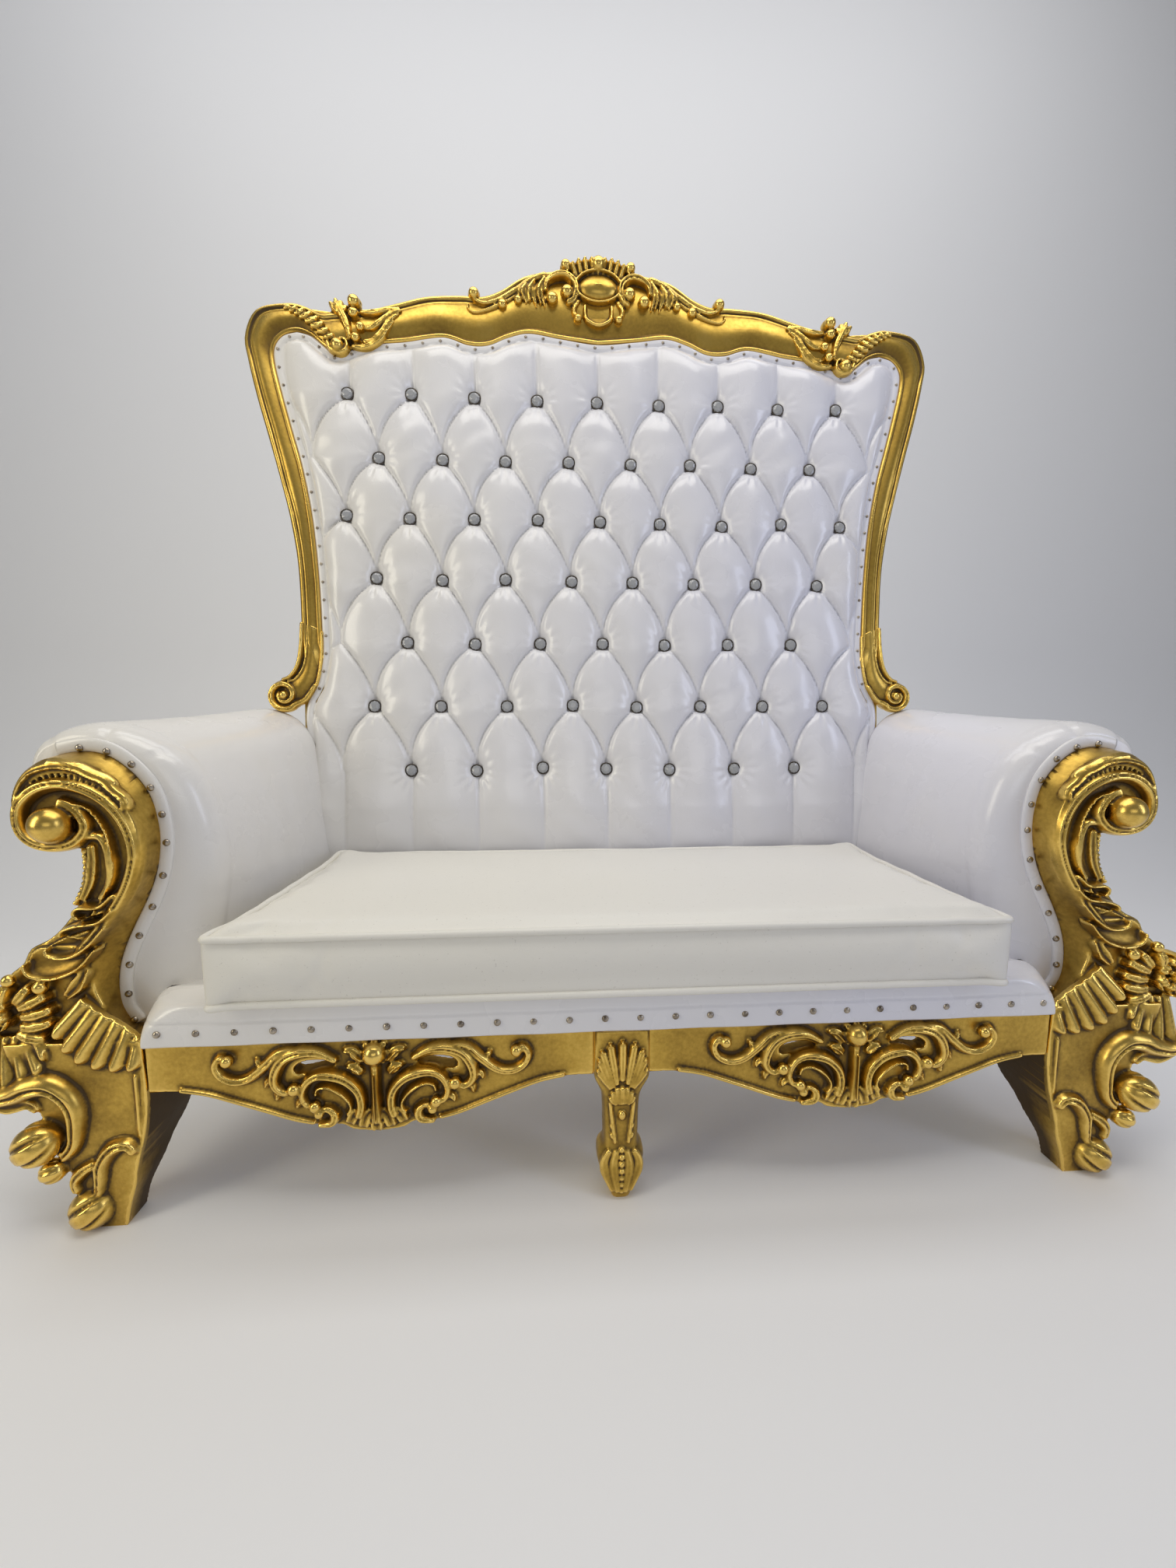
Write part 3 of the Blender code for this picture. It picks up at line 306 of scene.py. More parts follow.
    def ruffle(self, roots, tips, pleats, rise, base):
        """A fan of pleats: fold(s) = |sin(pi pleats s)|^0.8, highest and longest at each fold's middle, rolled under
        at the tips."""
        s = np.linspace(0, 1, 24 * pleats + 1)
        fold = np.abs(np.sin(pi * pleats * s))**0.8
        root, tip = resample(roots, len(s)), resample(tips, len(s))
        tip = root + (tip - root) * (0.88 + 0.14 * fold)[:, None]
        t = np.linspace(0, 1, 28)
        closing = np.sqrt(np.clip(1 - np.clip((t - 0.82) / 0.18, 0, 1)**2, 0, 1))
        self.sheet(root, tip, rise, base, (0.22 + 0.78 * t**0.8) * closing, 0.42 + 0.58 * fold)

    def beads(self, path, radius, out, step):
        """Small balls at equal steps along a path."""
        for x, z in resample(path, max(2, int(round(length_of(path) / step)) + 1)):
            self.ball(x, z, radius, out, bands=6, sides=8)

    def plate(self, outline, low, high):
        """A flat plate with a drawn outline."""
        outline = np.array(outline, float)
        rings = np.stack([np.column_stack([outline, np.full(len(outline), level)]) for level in (low, high)])
        self.skin(rings)

    def object(self, name, place):
        """One mesh object, with place(x, z, out) giving each point's position on the throne."""
        x, z, out = np.vstack(self.points).T
        data = bpy.data.meshes.new(name)
        data.from_pydata(np.column_stack(place(x, z, out)).tolist(), [], self.faces)
        made = bpy.data.objects.new(name, data)
        bpy.context.scene.collection.objects.link(made)
        return made


print("sink of each carved form into its ground: %.0f mm" % (SINK * 1000))

# %% [markdown]
# ## Fusing the forms, and where the brown wax stays
#
# Real gilding on carved work is rubbed over with brown wax, which stays in the hollows. To know where the
# hollows are, the mesh is smoothed and compared with itself: where smoothing lifts a point outwards it lay in
# a hollow, and where it pushes a point inwards it was on a ridge. The result is kept on the mesh as an
# attribute named hollow, so the finish is the same from every side.

# %% Fuse, thin and measure the hollows
def read_mesh(data):
    """A mesh's points, normals and edges as arrays."""
    points = np.empty(len(data.vertices) * 3)
    data.vertices.foreach_get("co", points)
    normals = np.empty(len(data.vertices) * 3)
    data.vertex_normals.foreach_get("vector", normals)
    edges = np.empty(len(data.edges) * 2, int)
    data.edges.foreach_get("vertices", edges)
    return points.reshape(-1, 3), normals.reshape(-1, 3), edges.reshape(-1, 2)


def relaxed(points, edges, rounds, share=0.5):
    """Each round moves every point by a share of the way to the mean of its neighbours."""
    count = len(points)
    ends = np.concatenate([edges[:, 0], edges[:, 1]])
    others = np.concatenate([edges[:, 1], edges[:, 0]])
    degree = np.maximum(np.bincount(ends, minlength=count), 1)
    for _ in range(rounds):
        mean = np.column_stack([np.bincount(ends, points[others, k], count) / degree for k in range(3)])
        points = points + share * (mean - points)
    return points


def write_attribute(data, name, values):
    """One number per vertex, kept on the mesh."""
    layer = data.attributes.new(name, "FLOAT", "POINT")
    layer.data.foreach_set("value", values.astype(np.float32))


def with_modifiers(piece):
    """The piece's mesh with its modifiers applied, put back into the piece."""
    view = bpy.context.evaluated_depsgraph_get()
    done = bpy.data.meshes.new_from_object(piece.evaluated_get(view))
    piece.modifiers.clear()
    piece.data = done
    return done


def measure_hollows(data, fine=0.0005, broad=0.0022):
    """hollow = (4 rounds of smoothing . normal) / fine + (30 rounds . normal) / broad, halved, about 0.5."""
    points, normals, edges = read_mesh(data)
    small = relaxed(points, edges, 4)
    large = relaxed(small, edges, 26)
    depth_fine = ((small - points) * normals).sum(axis=1)
    depth_broad = ((large - points) * normals).sum(axis=1)
    write_attribute(data, "hollow", np.clip(0.5 + 0.22 * depth_fine / fine + 0.28 * depth_broad / broad, 0, 1))


def smooth_shading(data):
    """Every face is shaded smooth."""
    data.polygons.foreach_set("use_smooth", np.ones(len(data.polygons), bool))


def eased(points, normals, edges):
    """Flat places are smoothed and carved ones hardly: share = exp(-(depth / 0.5 mm)^2), depth being how far
    14 rounds of smoothing move a point along its normal."""
    light = relaxed(relaxed(points, edges, 1, 0.6), edges, 1, -0.35)
    smooth = relaxed(light, edges, 14)
    depth = ((smooth - light) * normals).sum(axis=1)
    share = np.exp(-(depth / 0.0005)**2)[:, None]
    return light * (1 - share) + smooth * share


def fused(piece, voxel, keep, trim=None):
    """All the forms as one skin: remeshed on small cubes, eased, trimmed to its neighbours' planes, thinned to a
    share of its faces, and given its hollows."""
    modifier = piece.modifiers.new("fuse", "REMESH")
    modifier.mode = "VOXEL"
    modifier.voxel_size = voxel
    data = with_modifiers(piece)
    points = eased(*read_mesh(data))
    points = trim(points) if trim else points
    data.vertices.foreach_set("co", points.ravel())
    data.update()
    measure_hollows(data)
    thin = piece.modifiers.new("thin", "DECIMATE")
    thin.ratio = keep
    data = with_modifiers(piece)
    smooth_shading(data)
    print("%-22s %6d faces, hollow kept: %s" % (piece.name, len(data.polygons), "hollow" in data.attributes))
    return piece

# %% [markdown]
# ## The carved arm fronts
#
# Each arm ends in one carved and gilded front: a big scroll round a ball, a neck with overlapping shells, a
# shoulder with a flower, a ruffled skirt, and a leg whose scrolls run down to a rolled foot. It is drawn once
# for the right side, with x measured out from the end of the front rail and z up from the floor.

# %% The arm front's drawn pattern
DRAWN_ARM = 0.783
INNER_EDGE = [(0.004, 0.300), (0.050, 0.318), (0.066, 0.345), (0.069, 0.372), (0.067, 0.400), (0.061, 0.428),
              (0.050, 0.457), (0.035, 0.488), (0.015, 0.526), (-0.002, 0.564), (-0.012, 0.600), (-0.017, 0.640),
              (-0.015, 0.675), (-0.008, 0.708), (0.006, 0.735), (0.029, 0.760), (0.055, 0.777), (0.088, 0.783),
              (0.128, 0.776), (0.158, 0.756), (0.177, 0.724), (0.180, 0.693), (0.171, 0.664), (0.150, 0.641),
              (0.110, 0.634), (0.078, 0.628)]
FACE_EDGE = [(0.004, 0.296), (0.040, 0.325), (0.060, 0.352), (0.074, 0.376), (0.082, 0.398), (0.083, 0.424),
             (0.077, 0.452), (0.066, 0.476), (0.047, 0.500), (0.024, 0.530), (0.005, 0.558), (-0.008, 0.587),
             (-0.014, 0.615), (-0.015, 0.642), (-0.010, 0.670), (0.001, 0.696), (0.017, 0.718), (0.035, 0.738),
             (0.056, 0.756), (0.080, 0.768), (0.105, 0.773), (0.128, 0.768), (0.150, 0.750), (0.168, 0.722),
             (0.172, 0.693), (0.164, 0.668), (0.146, 0.648), (0.112, 0.640), (0.082, 0.632)]
NECK_EDGE = [(0.072, 0.605), (0.078, 0.571), (0.094, 0.538), (0.118, 0.506), (0.142, 0.484), (0.172, 0.468),
             (0.186, 0.444), (0.206, 0.428), (0.220, 0.408)]
SHOULDER_EDGE = [(0.240, 0.350), (0.232, 0.285), (0.010, 0.285)]
BAND_EDGE = [(0.116, 0.768), (0.082, 0.764), (0.058, 0.752), (0.038, 0.734), (0.020, 0.715), (0.005, 0.694),
             (-0.006, 0.669), (-0.011, 0.642), (-0.010, 0.616), (-0.004, 0.589), (0.009, 0.561), (0.028, 0.533),
             (0.051, 0.503), (0.071, 0.479), (0.083, 0.454), (0.089, 0.425)]
VOLUTE = [(0.094, 0.462), (0.060, 0.500), (0.036, 0.531), (0.012, 0.570), (-0.002, 0.612), (-0.002, 0.645),
          (0.008, 0.676), (0.028, 0.704), (0.058, 0.724), (0.092, 0.733), (0.125, 0.727), (0.150, 0.708),
          (0.159, 0.685), (0.155, 0.659), (0.136, 0.641), (0.108, 0.636), (0.081, 0.643), (0.064, 0.663),
          (0.069, 0.684), (0.084, 0.700), (0.104, 0.707)]
THIRD_RIDGE = [(0.084, 0.705), (0.058, 0.694), (0.040, 0.670), (0.031, 0.643), (0.029, 0.612), (0.034, 0.582),
               (0.048, 0.552), (0.070, 0.522)]
INNER_BAND = [(0.068, 0.650), (0.046, 0.650), (0.035, 0.629), (0.033, 0.598), (0.040, 0.571), (0.057, 0.547)]
NECK_LEAF = [(0.061, 0.640), (0.062, 0.613), (0.068, 0.578), (0.084, 0.545)]
NECK_BEADS = [(0.075, 0.626), (0.075, 0.600), (0.081, 0.570), (0.095, 0.543)]
WAVY_LEAF = [(0.006, 0.688), (0.006, 0.706), (0.020, 0.720), (0.034, 0.735), (0.051, 0.743), (0.072, 0.754),
             (0.101, 0.758), (0.129, 0.751), (0.146, 0.737), (0.157, 0.717), (0.161, 0.697), (0.155, 0.678)]
SHELL_RISE = 0.024
SCALLOPS = [[(0.027, 0.560), (0.048, 0.541), (0.077, 0.540), (0.086, 0.530), (0.076, 0.520), (0.050, 0.530)],
            [(0.029, 0.536), (0.052, 0.516), (0.085, 0.511), (0.108, 0.502), (0.107, 0.491), (0.080, 0.489)],
            [(0.044, 0.508), (0.073, 0.476), (0.103, 0.460), (0.131, 0.464), (0.134, 0.478), (0.110, 0.489)],
            [(0.062, 0.472), (0.092, 0.440), (0.130, 0.426), (0.163, 0.432), (0.172, 0.452), (0.150, 0.473)]]
CUP_LEAF = [(0.084, 0.438), (0.098, 0.412), (0.122, 0.388)]
BUDS = [(0.196, 0.424, 0.010), (0.150, 0.412, 0.011)]
ROSETTE = (0.238, 0.369)
ROSETTE_PETALS = 6
ROSETTE_REACH = 0.036
SKIRT_ROOTS = [(0.006, 0.312), (0.022, 0.330), (0.046, 0.350), (0.070, 0.366), (0.096, 0.390)]
SKIRT_TIPS = [(0.006, 0.272), (0.030, 0.268), (0.058, 0.270), (0.090, 0.278), (0.116, 0.298), (0.138, 0.344)]
SKIRT_PLEATS = 6
FAN_ROOTS = [(0.176, 0.350), (0.192, 0.334), (0.214, 0.328), (0.240, 0.330)]
FAN_TIPS = [(0.142, 0.308), (0.156, 0.270), (0.187, 0.250), (0.220, 0.240), (0.254, 0.238)]
FAN_PLEATS = 5
SHOULDER_PETALS = [[(0.192, 0.348), (0.166, 0.346), (0.138, 0.352)], [(0.196, 0.338), (0.170, 0.329), (0.148, 0.324)],
                   [(0.190, 0.362), (0.162, 0.366), (0.136, 0.374)], [(0.190, 0.376), (0.166, 0.386), (0.142, 0.398)],
                   [(0.196, 0.382), (0.180, 0.398), (0.168, 0.414)], [(0.208, 0.384), (0.206, 0.402), (0.200, 0.418)]]
C_SCROLL = [(0.262, 0.262), (0.236, 0.236), (0.202, 0.240), (0.175, 0.251), (0.146, 0.252), (0.123, 0.235),
            (0.111, 0.210), (0.111, 0.177), (0.118, 0.147), (0.140, 0.124)]
C_LIP = [(0.256, 0.236), (0.218, 0.218), (0.182, 0.220), (0.168, 0.205)]
LEG_BUDS = [(0.166, 0.158, 0.034, 0.012, -0.5), (0.152, 0.106, 0.019, 0.008, -0.3)]
LOW_SCROLL = [(0.082, 0.118), (0.105, 0.104), (0.119, 0.086), (0.116, 0.062)]
INNER_CURL = [(0.022, 0.128), (0.034, 0.146), (0.058, 0.140), (0.076, 0.115), (0.081, 0.085), (0.086, 0.056)]
FOOT_BUD = (0.101, 0.034, 0.034, 0.000, -0.6)
INNER_STRIP = [(0.018, 0.262), (0.018, 0.200), (0.018, 0.152)]
LEG_CORE = [(0.318, 0.006, 0.215, 0.000, 1.00), (0.250, 0.004, 0.190, 0.000, 1.00), (0.200, 0.004, 0.168, 0.002, 0.97),
            (0.150, 0.012, 0.150, 0.004, 0.92), (0.118, 0.021, 0.140, 0.005, 0.86), (0.096, 0.026, 0.128, 0.006, 0.68),
            (0.070, 0.030, 0.115, 0.007, 0.52), (0.036, 0.040, 0.108, 0.008, 0.36), (-0.012, 0.052, 0.120, 0.006, 0.32)]
LEG_FORWARD = ARM_FACE - APRON_FACE
print("arm scroll drawn with", len(VOLUTE), "points, %.2f m long" % length_of(VOLUTE))

# %% Carve one arm front
def arm_place(side):
    """Panel coordinates to the throne: x out from the rail's end, the arm's own height, out towards the front."""
    scale = ARM_HEIGHT / DRAWN_ARM
    return lambda x, z, out: (side * (APRON_HALF_RUN + x * scale), ARM_FACE - out, z * scale)


def arm_body(work):
    """The flat ground of the arm and shoulder, and the leg's core as a stack of boxes that narrow to the foot."""
    rest = np.vstack([resample(NECK_EDGE, 30), SHOULDER_EDGE])
    rings = []
    for edge, out in ((INNER_EDGE, -ARM_PLATE - SINK), (FACE_EDGE, 0.0)):
        outline = np.vstack([resample(edge, 120), rest])
        rings.append(np.column_stack([outline, np.full(len(outline), out)]))
    work.skin(np.stack(rings))
    height, inner, outer, forward, share = resample(LEG_CORE, 60).T
    near = LEG_FORWARD + forward
    far = near - FRONT_LEG_DEPTH * share
    corners = [(inner, near), (outer, near), (outer, far), (inner, far)]
    work.skin(np.stack([np.column_stack([x, height, out]) for x, out in corners], axis=1))


def arm_scroll(work):
    """The big scroll: ridges that run beside each other round the ball, with beads down the neck."""
    work.stroke(BAND_EDGE, [0.003, 0.0035, 0.0035], 0.010)
    work.stroke(VOLUTE, [0.009, 0.0095, 0.011, 0.011, 0.008], 0.020, section=GROOVED)
    work.stroke(THIRD_RIDGE, [0.003, 0.005, 0.003], 0.016, section=RIDGED)
    work.stroke(INNER_BAND, [0.006, 0.010, 0.005], 0.015)
    work.stroke(NECK_LEAF, [0.006, 0.008, 0.005], 0.013, section=CUPPED)
    work.beads(NECK_BEADS, 0.0042, 0.002, 0.0088)
    work.stroke(WAVY_LEAF, [0.008, 0.008, 0.010, 0.008], 0.020, section=RIBBED)
    work.stroke(WAVY_LEAF[2:], [0.013, 0.012, 0.013, 0.010], 0.009)
    work.ball(0.106, 0.671, 0.029, 0.018, bands=24, sides=36)
    hatch = resample(WAVY_LEAF[2:], 22) * 0.55 + resample(VOLUTE[7:14], 22) * 0.45
    for x, z in hatch:
        work.stroke([(x - 0.004, z - 0.004), (x + 0.004, z + 0.004)], [0.0014, 0.0014], 0.012, rings=4)


def arm_shells(work):
    """Four shells overlap down the neck, each a cupped leaf with a bright lip along its lower edge."""
    for index, ring in enumerate(SCALLOPS):
        work.shell(ring, SHELL_RISE - 0.001 * index)
    work.stroke(CUP_LEAF, [0.006, 0.012, 0.005], 0.024, section=CUPPED)
    for x, z, radius in BUDS:
        work.ball(x, z, radius, 0.016)


def flower(work, centre, reach, petals, out):
    """Cupped petals round a ball: petal k points along 2 pi (k + 1/2) / petals."""
    x, z = centre
    for turn in 2 * pi * (np.arange(petals) + 0.5) / petals:
        way = np.array([np.cos(turn), np.sin(turn)])
        work.stroke([centre + way * reach * 0.25, centre + way * reach], [0.006, 0.015, 0.012], out, section=PETAL)
        lip = centre + way * reach * 0.97
        beside = np.array([-way[1], way[0]]) * reach * 0.30
        work.stroke([lip - beside, lip + way * 0.003, lip + beside], [0.0025, 0.0036, 0.0025], out * 1.04)
    rim = np.linspace(0, 2 * pi, 40, endpoint=False)
    work.plate(centre + 0.80 * reach * np.column_stack([np.cos(rim), np.sin(rim)]), -0.030, out * 0.35)
    work.ball(x, z, reach * 0.36, out * 0.9)


def arm_skirt(work):
    """Two ruffles, one under the shoulder and one under the flower, with short petals between them."""
    work.ruffle(SKIRT_ROOTS, SKIRT_TIPS, SKIRT_PLEATS, 0.026, 0.010)
    work.ruffle(FAN_ROOTS, FAN_TIPS, FAN_PLEATS, 0.030, 0.004)
    for index, petal in enumerate(SHOULDER_PETALS):
        work.stroke(petal, [0.007, 0.0115, 0.0085], 0.026 + 0.003 * (index % 2), section=PETAL)


def arm_leg(work):
    """The leg's scrolls, buds and leaves stand on its own face, a little forward of the shoulder's."""
    for path, widths, rise, section in ((C_SCROLL, [0.013, 0.019, 0.017, 0.010], 0.022, GROOVED),
                                        (C_LIP, [0.008, 0.012, 0.006], 0.014, CUPPED),
                                        (LOW_SCROLL, [0.008, 0.012, 0.008], 0.020, GROOVED),
                                        (INNER_CURL, [0.008, 0.013, 0.012, 0.008], 0.022, GROOVED),
                                        (INNER_STRIP, [0.0035, 0.0035], 0.006, RIDGED)):
        work.stroke(path, widths, rise, base=LEG_FORWARD, section=section)
    for x, z, radius, out, heading in LEG_BUDS + [FOOT_BUD]:
        work.bud((x, z), radius, out + LEG_FORWARD, heading)


# %% Both arm fronts, fused and trimmed to their neighbours
ARM_VOXEL = 0.0021
ARM_KEEP = 0.36


def arm_trim(points):
    """A point past a neighbour's plane is brought back onto it: the floor, the rail's end below the cushion,
    and the plane behind the plate above the side rail."""
    points = points.copy()
    x, y, z = points.T
    side = np.sign(x)
    z[:] = np.maximum(z, 0.0)
    low = z < CUSHION_BOTTOM + 0.003
    x[low] = side[low] * np.maximum(np.abs(x[low]), APRON_HALF_RUN)
    high = z > ARM_PAD_BOTTOM
    y[high] = np.minimum(y[high], ARM_FACE + ARM_PLATE)
    return np.column_stack([x, y, z])


def darken_inner_side(data, side):
    """The leg's side towards the middle gets the darkest colour: there hollow = 1, under the front rail's top,
    behind the leg's front edge and where the normal points to the middle."""
    points, normals, _ = read_mesh(data)
    hollow = np.empty(len(points), np.float32)
    layer = data.attributes["hollow"].data
    layer.foreach_get("value", hollow)
    # Darker on the side that faces the middle, behind the leg's front edge and under the front rail's top.
    facing = np.clip((-side * normals[:, 0] - 0.45) / 0.2, 0, 1)
    behind = np.clip((points[:, 1] - APRON_FACE - 0.004) / 0.004, 0, 1) * (points[:, 2] < APRON_TOP)
    layer.foreach_set("value", np.maximum(hollow, facing * behind).astype(np.float32))


for side, word in SIDES:
    work = Carving()
    for carve in (arm_body, arm_scroll, arm_shells, arm_skirt, arm_leg):
        carve(work)
    flower(work, np.array(ROSETTE), ROSETTE_REACH, ROSETTE_PETALS, 0.026)
    piece = fused(work.object(word + "_arm_carving", arm_place(side)), ARM_VOXEL, ARM_KEEP, arm_trim)
    darken_inner_side(piece.data, side)
    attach(piece, "root")
    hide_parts(word + "_arm_front")
    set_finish(piece, "gold")

# %% [markdown]
# ## The back's frame
#
# The rail that runs up each side, round the ears and along the crest is one band. Its inner and outer edges
# are drawn as pairs of points that face each other, so one curve through four numbers gives both edges. Across
# the band runs a bead at each edge, with a gently crowned field between them.

# %% The back's drawn pattern
DRAWN_BACK_HALF = 0.770
DRAWN_STILE = 0.636
DRAWN_CREST = 1.840
BACK_HALF_WIDTH = 0.765
THRONE_HEIGHT = 1.845
STILE_SCALE = STILE_HALF / DRAWN_STILE
EAR_SCALE = (BACK_HALF_WIDTH - STILE_HALF) / (DRAWN_BACK_HALF - DRAWN_STILE)
BACK_SCALE_Z = (THRONE_HEIGHT - DRAWN_ARM) / (DRAWN_CREST - DRAWN_ARM)
SIDE_SCROLL = (0.700, 0.880)
SIDE_SCROLL_RADIUS = 0.033
SWEEP_INNER = [(0.6185, 1.020), (0.6200, 0.960), (0.6300, 0.905), (0.6520, 0.872), (0.6840, 0.852)]
SWEEP_OUTER = [(0.6590, 1.040), (0.6620, 0.985), (0.6700, 0.945), (0.6870, 0.920), (0.7060, 0.912)]
STILE_FLAT_BELOW = 0.92
INNER_SIDE = [(0.613, 0.840), (0.618, 1.000), (0.624, 1.140), (0.636, 1.265), (0.655, 1.370), (0.676, 1.450),
              (0.696, 1.527), (0.710, 1.590), (0.710, 1.625), (0.692, 1.650), (0.661, 1.660), (0.630, 1.652),
              (0.600, 1.629), (0.578, 1.615)]
INNER_CREST = [(0.545, 1.625), (0.489, 1.640), (0.427, 1.648), (0.345, 1.661), (0.290, 1.647), (0.247, 1.648),
               (0.203, 1.666), (0.155, 1.678), (0.085, 1.669), (0.000, 1.660)]
CENTRE_OVAL = (0.0, 1.778)
OVAL_HALF = (0.046, 0.029)
CROWN_STEM = [(0.000, 1.800), (0.000, 1.841)]
CROWN_ROOTS = [(0.004, 1.800), (0.020, 1.799), (0.036, 1.794), (0.050, 1.786)]
CROWN_TIPS = [(0.008, 1.838), (0.026, 1.838), (0.046, 1.834), (0.066, 1.822)]
CROWN_BALL = (0.073, 1.822, 0.011)
CROWN_BRACKET = [(0.064, 1.818), (0.070, 1.806), (0.066, 1.792), (0.058, 1.786)]
CENTRE_C = [(0.118, 1.762), (0.114, 1.785), (0.094, 1.799), (0.072, 1.800), (0.054, 1.786), (0.050, 1.765),
            (0.057, 1.747), (0.074, 1.740)]
CENTRE_BALLS = [(0.070, 1.764, 0.014), (0.103, 1.748, 0.013)]
SHIELD = [(0.030, 1.742), (0.029, 1.712), (0.015, 1.700), (0.000, 1.696)]
SHIELD_LEG = [(0.040, 1.752), (0.054, 1.732), (0.051, 1.716), (0.036, 1.712)]
CREST_LEAVES = [[(0.118, 1.797), (0.133, 1.765), (0.127, 1.733)], [(0.140, 1.790), (0.154, 1.764), (0.150, 1.740)],
                [(0.158, 1.781), (0.169, 1.762), (0.163, 1.743)]]
CREST_STEM = [(0.112, 1.804), (0.148, 1.791), (0.188, 1.764), (0.223, 1.744), (0.253, 1.735), (0.275, 1.742),
              (0.281, 1.752)]
CREST_LOW_STEM = [(0.168, 1.766), (0.205, 1.741), (0.245, 1.722), (0.275, 1.714), (0.290, 1.722), (0.289, 1.735)]
CREST_BALLS = [(0.277, 1.754, 0.012), (0.214, 1.733, 0.010), (0.179, 1.744, 0.009)]
CORNER_LEAF = [(0.690, 1.712), (0.656, 1.700), (0.628, 1.683), (0.604, 1.662), (0.585, 1.645), (0.560, 1.632)]
CORNER_CURL = [(0.596, 1.640), (0.586, 1.620), (0.566, 1.613), (0.552, 1.624), (0.556, 1.642), (0.572, 1.644)]
CORNER_SPRAY = [(0.575, 1.718), (0.562, 1.697), (0.551, 1.671), (0.546, 1.640)]
CORNER_BALLS = [(0.536, 1.723, 0.013), (0.537, 1.698, 0.011), (0.523, 1.669, 0.010), (0.533, 1.646, 0.010),
                (0.572, 1.628, 0.014)]
CORNER_RIBS = [[(0.527, 1.703), (0.500, 1.702), (0.472, 1.708), (0.436, 1.716)],
               [(0.519, 1.668), (0.498, 1.670), (0.478, 1.686), (0.456, 1.703), (0.432, 1.712)],
               [(0.521, 1.640), (0.498, 1.643), (0.479, 1.660), (0.462, 1.686), (0.438, 1.706)],
               [(0.545, 1.630), (0.515, 1.628), (0.486, 1.642), (0.466, 1.668), (0.450, 1.690)]]
CORNER_TIPS = [(0.590, 1.722), (0.577, 1.731), (0.563, 1.727), (0.549, 1.716)]
RAIL_PAIRS = [(0.609, 0.215, 0.655, 0.215), (0.613, 0.900, 0.658, 0.900), (0.618, 1.000, 0.661, 1.000),
              (0.624, 1.140, 0.666, 1.150), (0.636, 1.265, 0.680, 1.250), (0.655, 1.370, 0.698, 1.330),
              (0.676, 1.450, 0.724, 1.430), (0.696, 1.527, 0.747, 1.515), (0.710, 1.590, 0.765, 1.595),
              (0.710, 1.625, 0.771, 1.648), (0.692, 1.650, 0.745, 1.703), (0.661, 1.660, 0.680, 1.719),
              (0.630, 1.652, 0.645, 1.714), (0.600, 1.629, 0.610, 1.700), (0.578, 1.615, 0.585, 1.702),
              (0.545, 1.625, 0.560, 1.705), (0.489, 1.640, 0.510, 1.711), (0.427, 1.648, 0.448, 1.728),
              (0.345, 1.661, 0.381, 1.746), (0.290, 1.647, 0.305, 1.752), (0.247, 1.648, 0.258, 1.752),
              (0.203, 1.666, 0.216, 1.768), (0.155, 1.678, 0.162, 1.801), (0.085, 1.669, 0.085, 1.816),
              (0.000, 1.660, 0.000, 1.822)]


def back_x(x):
    """Widths follow the stiles up to their middle, and the ears' reach beyond it."""
    reach = np.abs(x)
    return np.sign(x) * (np.minimum(reach, DRAWN_STILE) * STILE_SCALE + np.maximum(reach - DRAWN_STILE, 0) * EAR_SCALE)


def back_z(z):
    """Heights above the arms stretch with the throne's height."""
    return DRAWN_ARM + (z - DRAWN_ARM) * BACK_SCALE_Z


def back_points(points):
    """Drawn points in the back's real widths and heights."""
    x, z = np.array(points, float).T
    return np.column_stack([back_x(x), back_z(z)])


def back_y(z):
    """The raked front plane of the back: y = face + rake * (z - pivot)."""
    return BACK_FACE + BACK_RAKE * (z - BACK_PIVOT_HEIGHT)


def back_place(x, z, out):
    """The place on the throne of a point that stands out of the back's raked front plane."""
    return x, back_y(z) - out, z


print("the back leans %.1f degrees" % np.degrees(np.arctan(BACK_RAKE)))

# %% One closed band from foot to foot
RAIL_RINGS = 210
INNER_BEAD = 0.0042
OUTER_BEAD = 0.0055
RAIL_CROWN = 0.007


def grid_object(name, points, faces):
    """A mesh object straight from arrays."""
    data = bpy.data.meshes.new(name)
    data.from_pydata(points.tolist(), [], faces)
    smooth_shading(data)
    made = bpy.data.objects.new(name, data)
    bpy.context.scene.collection.objects.link(made)
    return made


def bead(distance, radius):
    """Half a circle that stands on the ground between 0 and two radii from an edge."""
    return np.sqrt(np.clip(radius**2 - (distance - radius)**2, 0, None))


def rail_band():
    """section(t) = bead(t * w) + bead((1 - t) * w) + crown * sin(pi t), over each pair of edge points w apart."""
    pairs = np.array(RAIL_PAIRS)
    inner, outer = back_points(pairs[:, :2]), back_points(pairs[:, 2:])
    half = resample(np.hstack([inner, outer]), RAIL_RINGS)
    whole = np.vstack([half, (half * (-1, 1, -1, 1))[-2::-1]])
    share = 0.5 - 0.5 * np.cos(np.linspace(0, pi, 46))
    inside, outside = whole[:, None, :2], whole[:, None, 2:]
    width = np.linalg.norm(outside - inside, axis=2)
    place = inside + (outside - inside) * share[None, :, None]
    out = bead(share * width, INNER_BEAD) + bead((1 - share) * width, OUTER_BEAD)
    out = out + 0.45 * bead((1 - share) * width - 0.013, 0.0025) + RAIL_CROWN * np.sin(pi * share) ** 1.5
    out = 0.0005 + out * np.clip((place[..., 1] - STILE_FLAT_BELOW) / 0.05, 0, 1)
    front = np.concatenate([place, out[..., None]], axis=2)
    few = place[:, ::-15]
    behind = np.concatenate([few, np.full(few.shape[:2] + (1,), -BACK_THICKNESS)], axis=2)
    work = Carving()
    work.skin(np.concatenate([front, behind], axis=1))
    made = work.object("back_rail", back_place)
    measure_hollows(made.data, fine=0.001, broad=0.004)
    smooth_shading(made.data)
    return made


back_rail = rail_band()
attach(back_rail, "root")
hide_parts("back_frame")
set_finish(back_rail, "gold")
print("back rail:", len(back_rail.data.polygons), "faces")

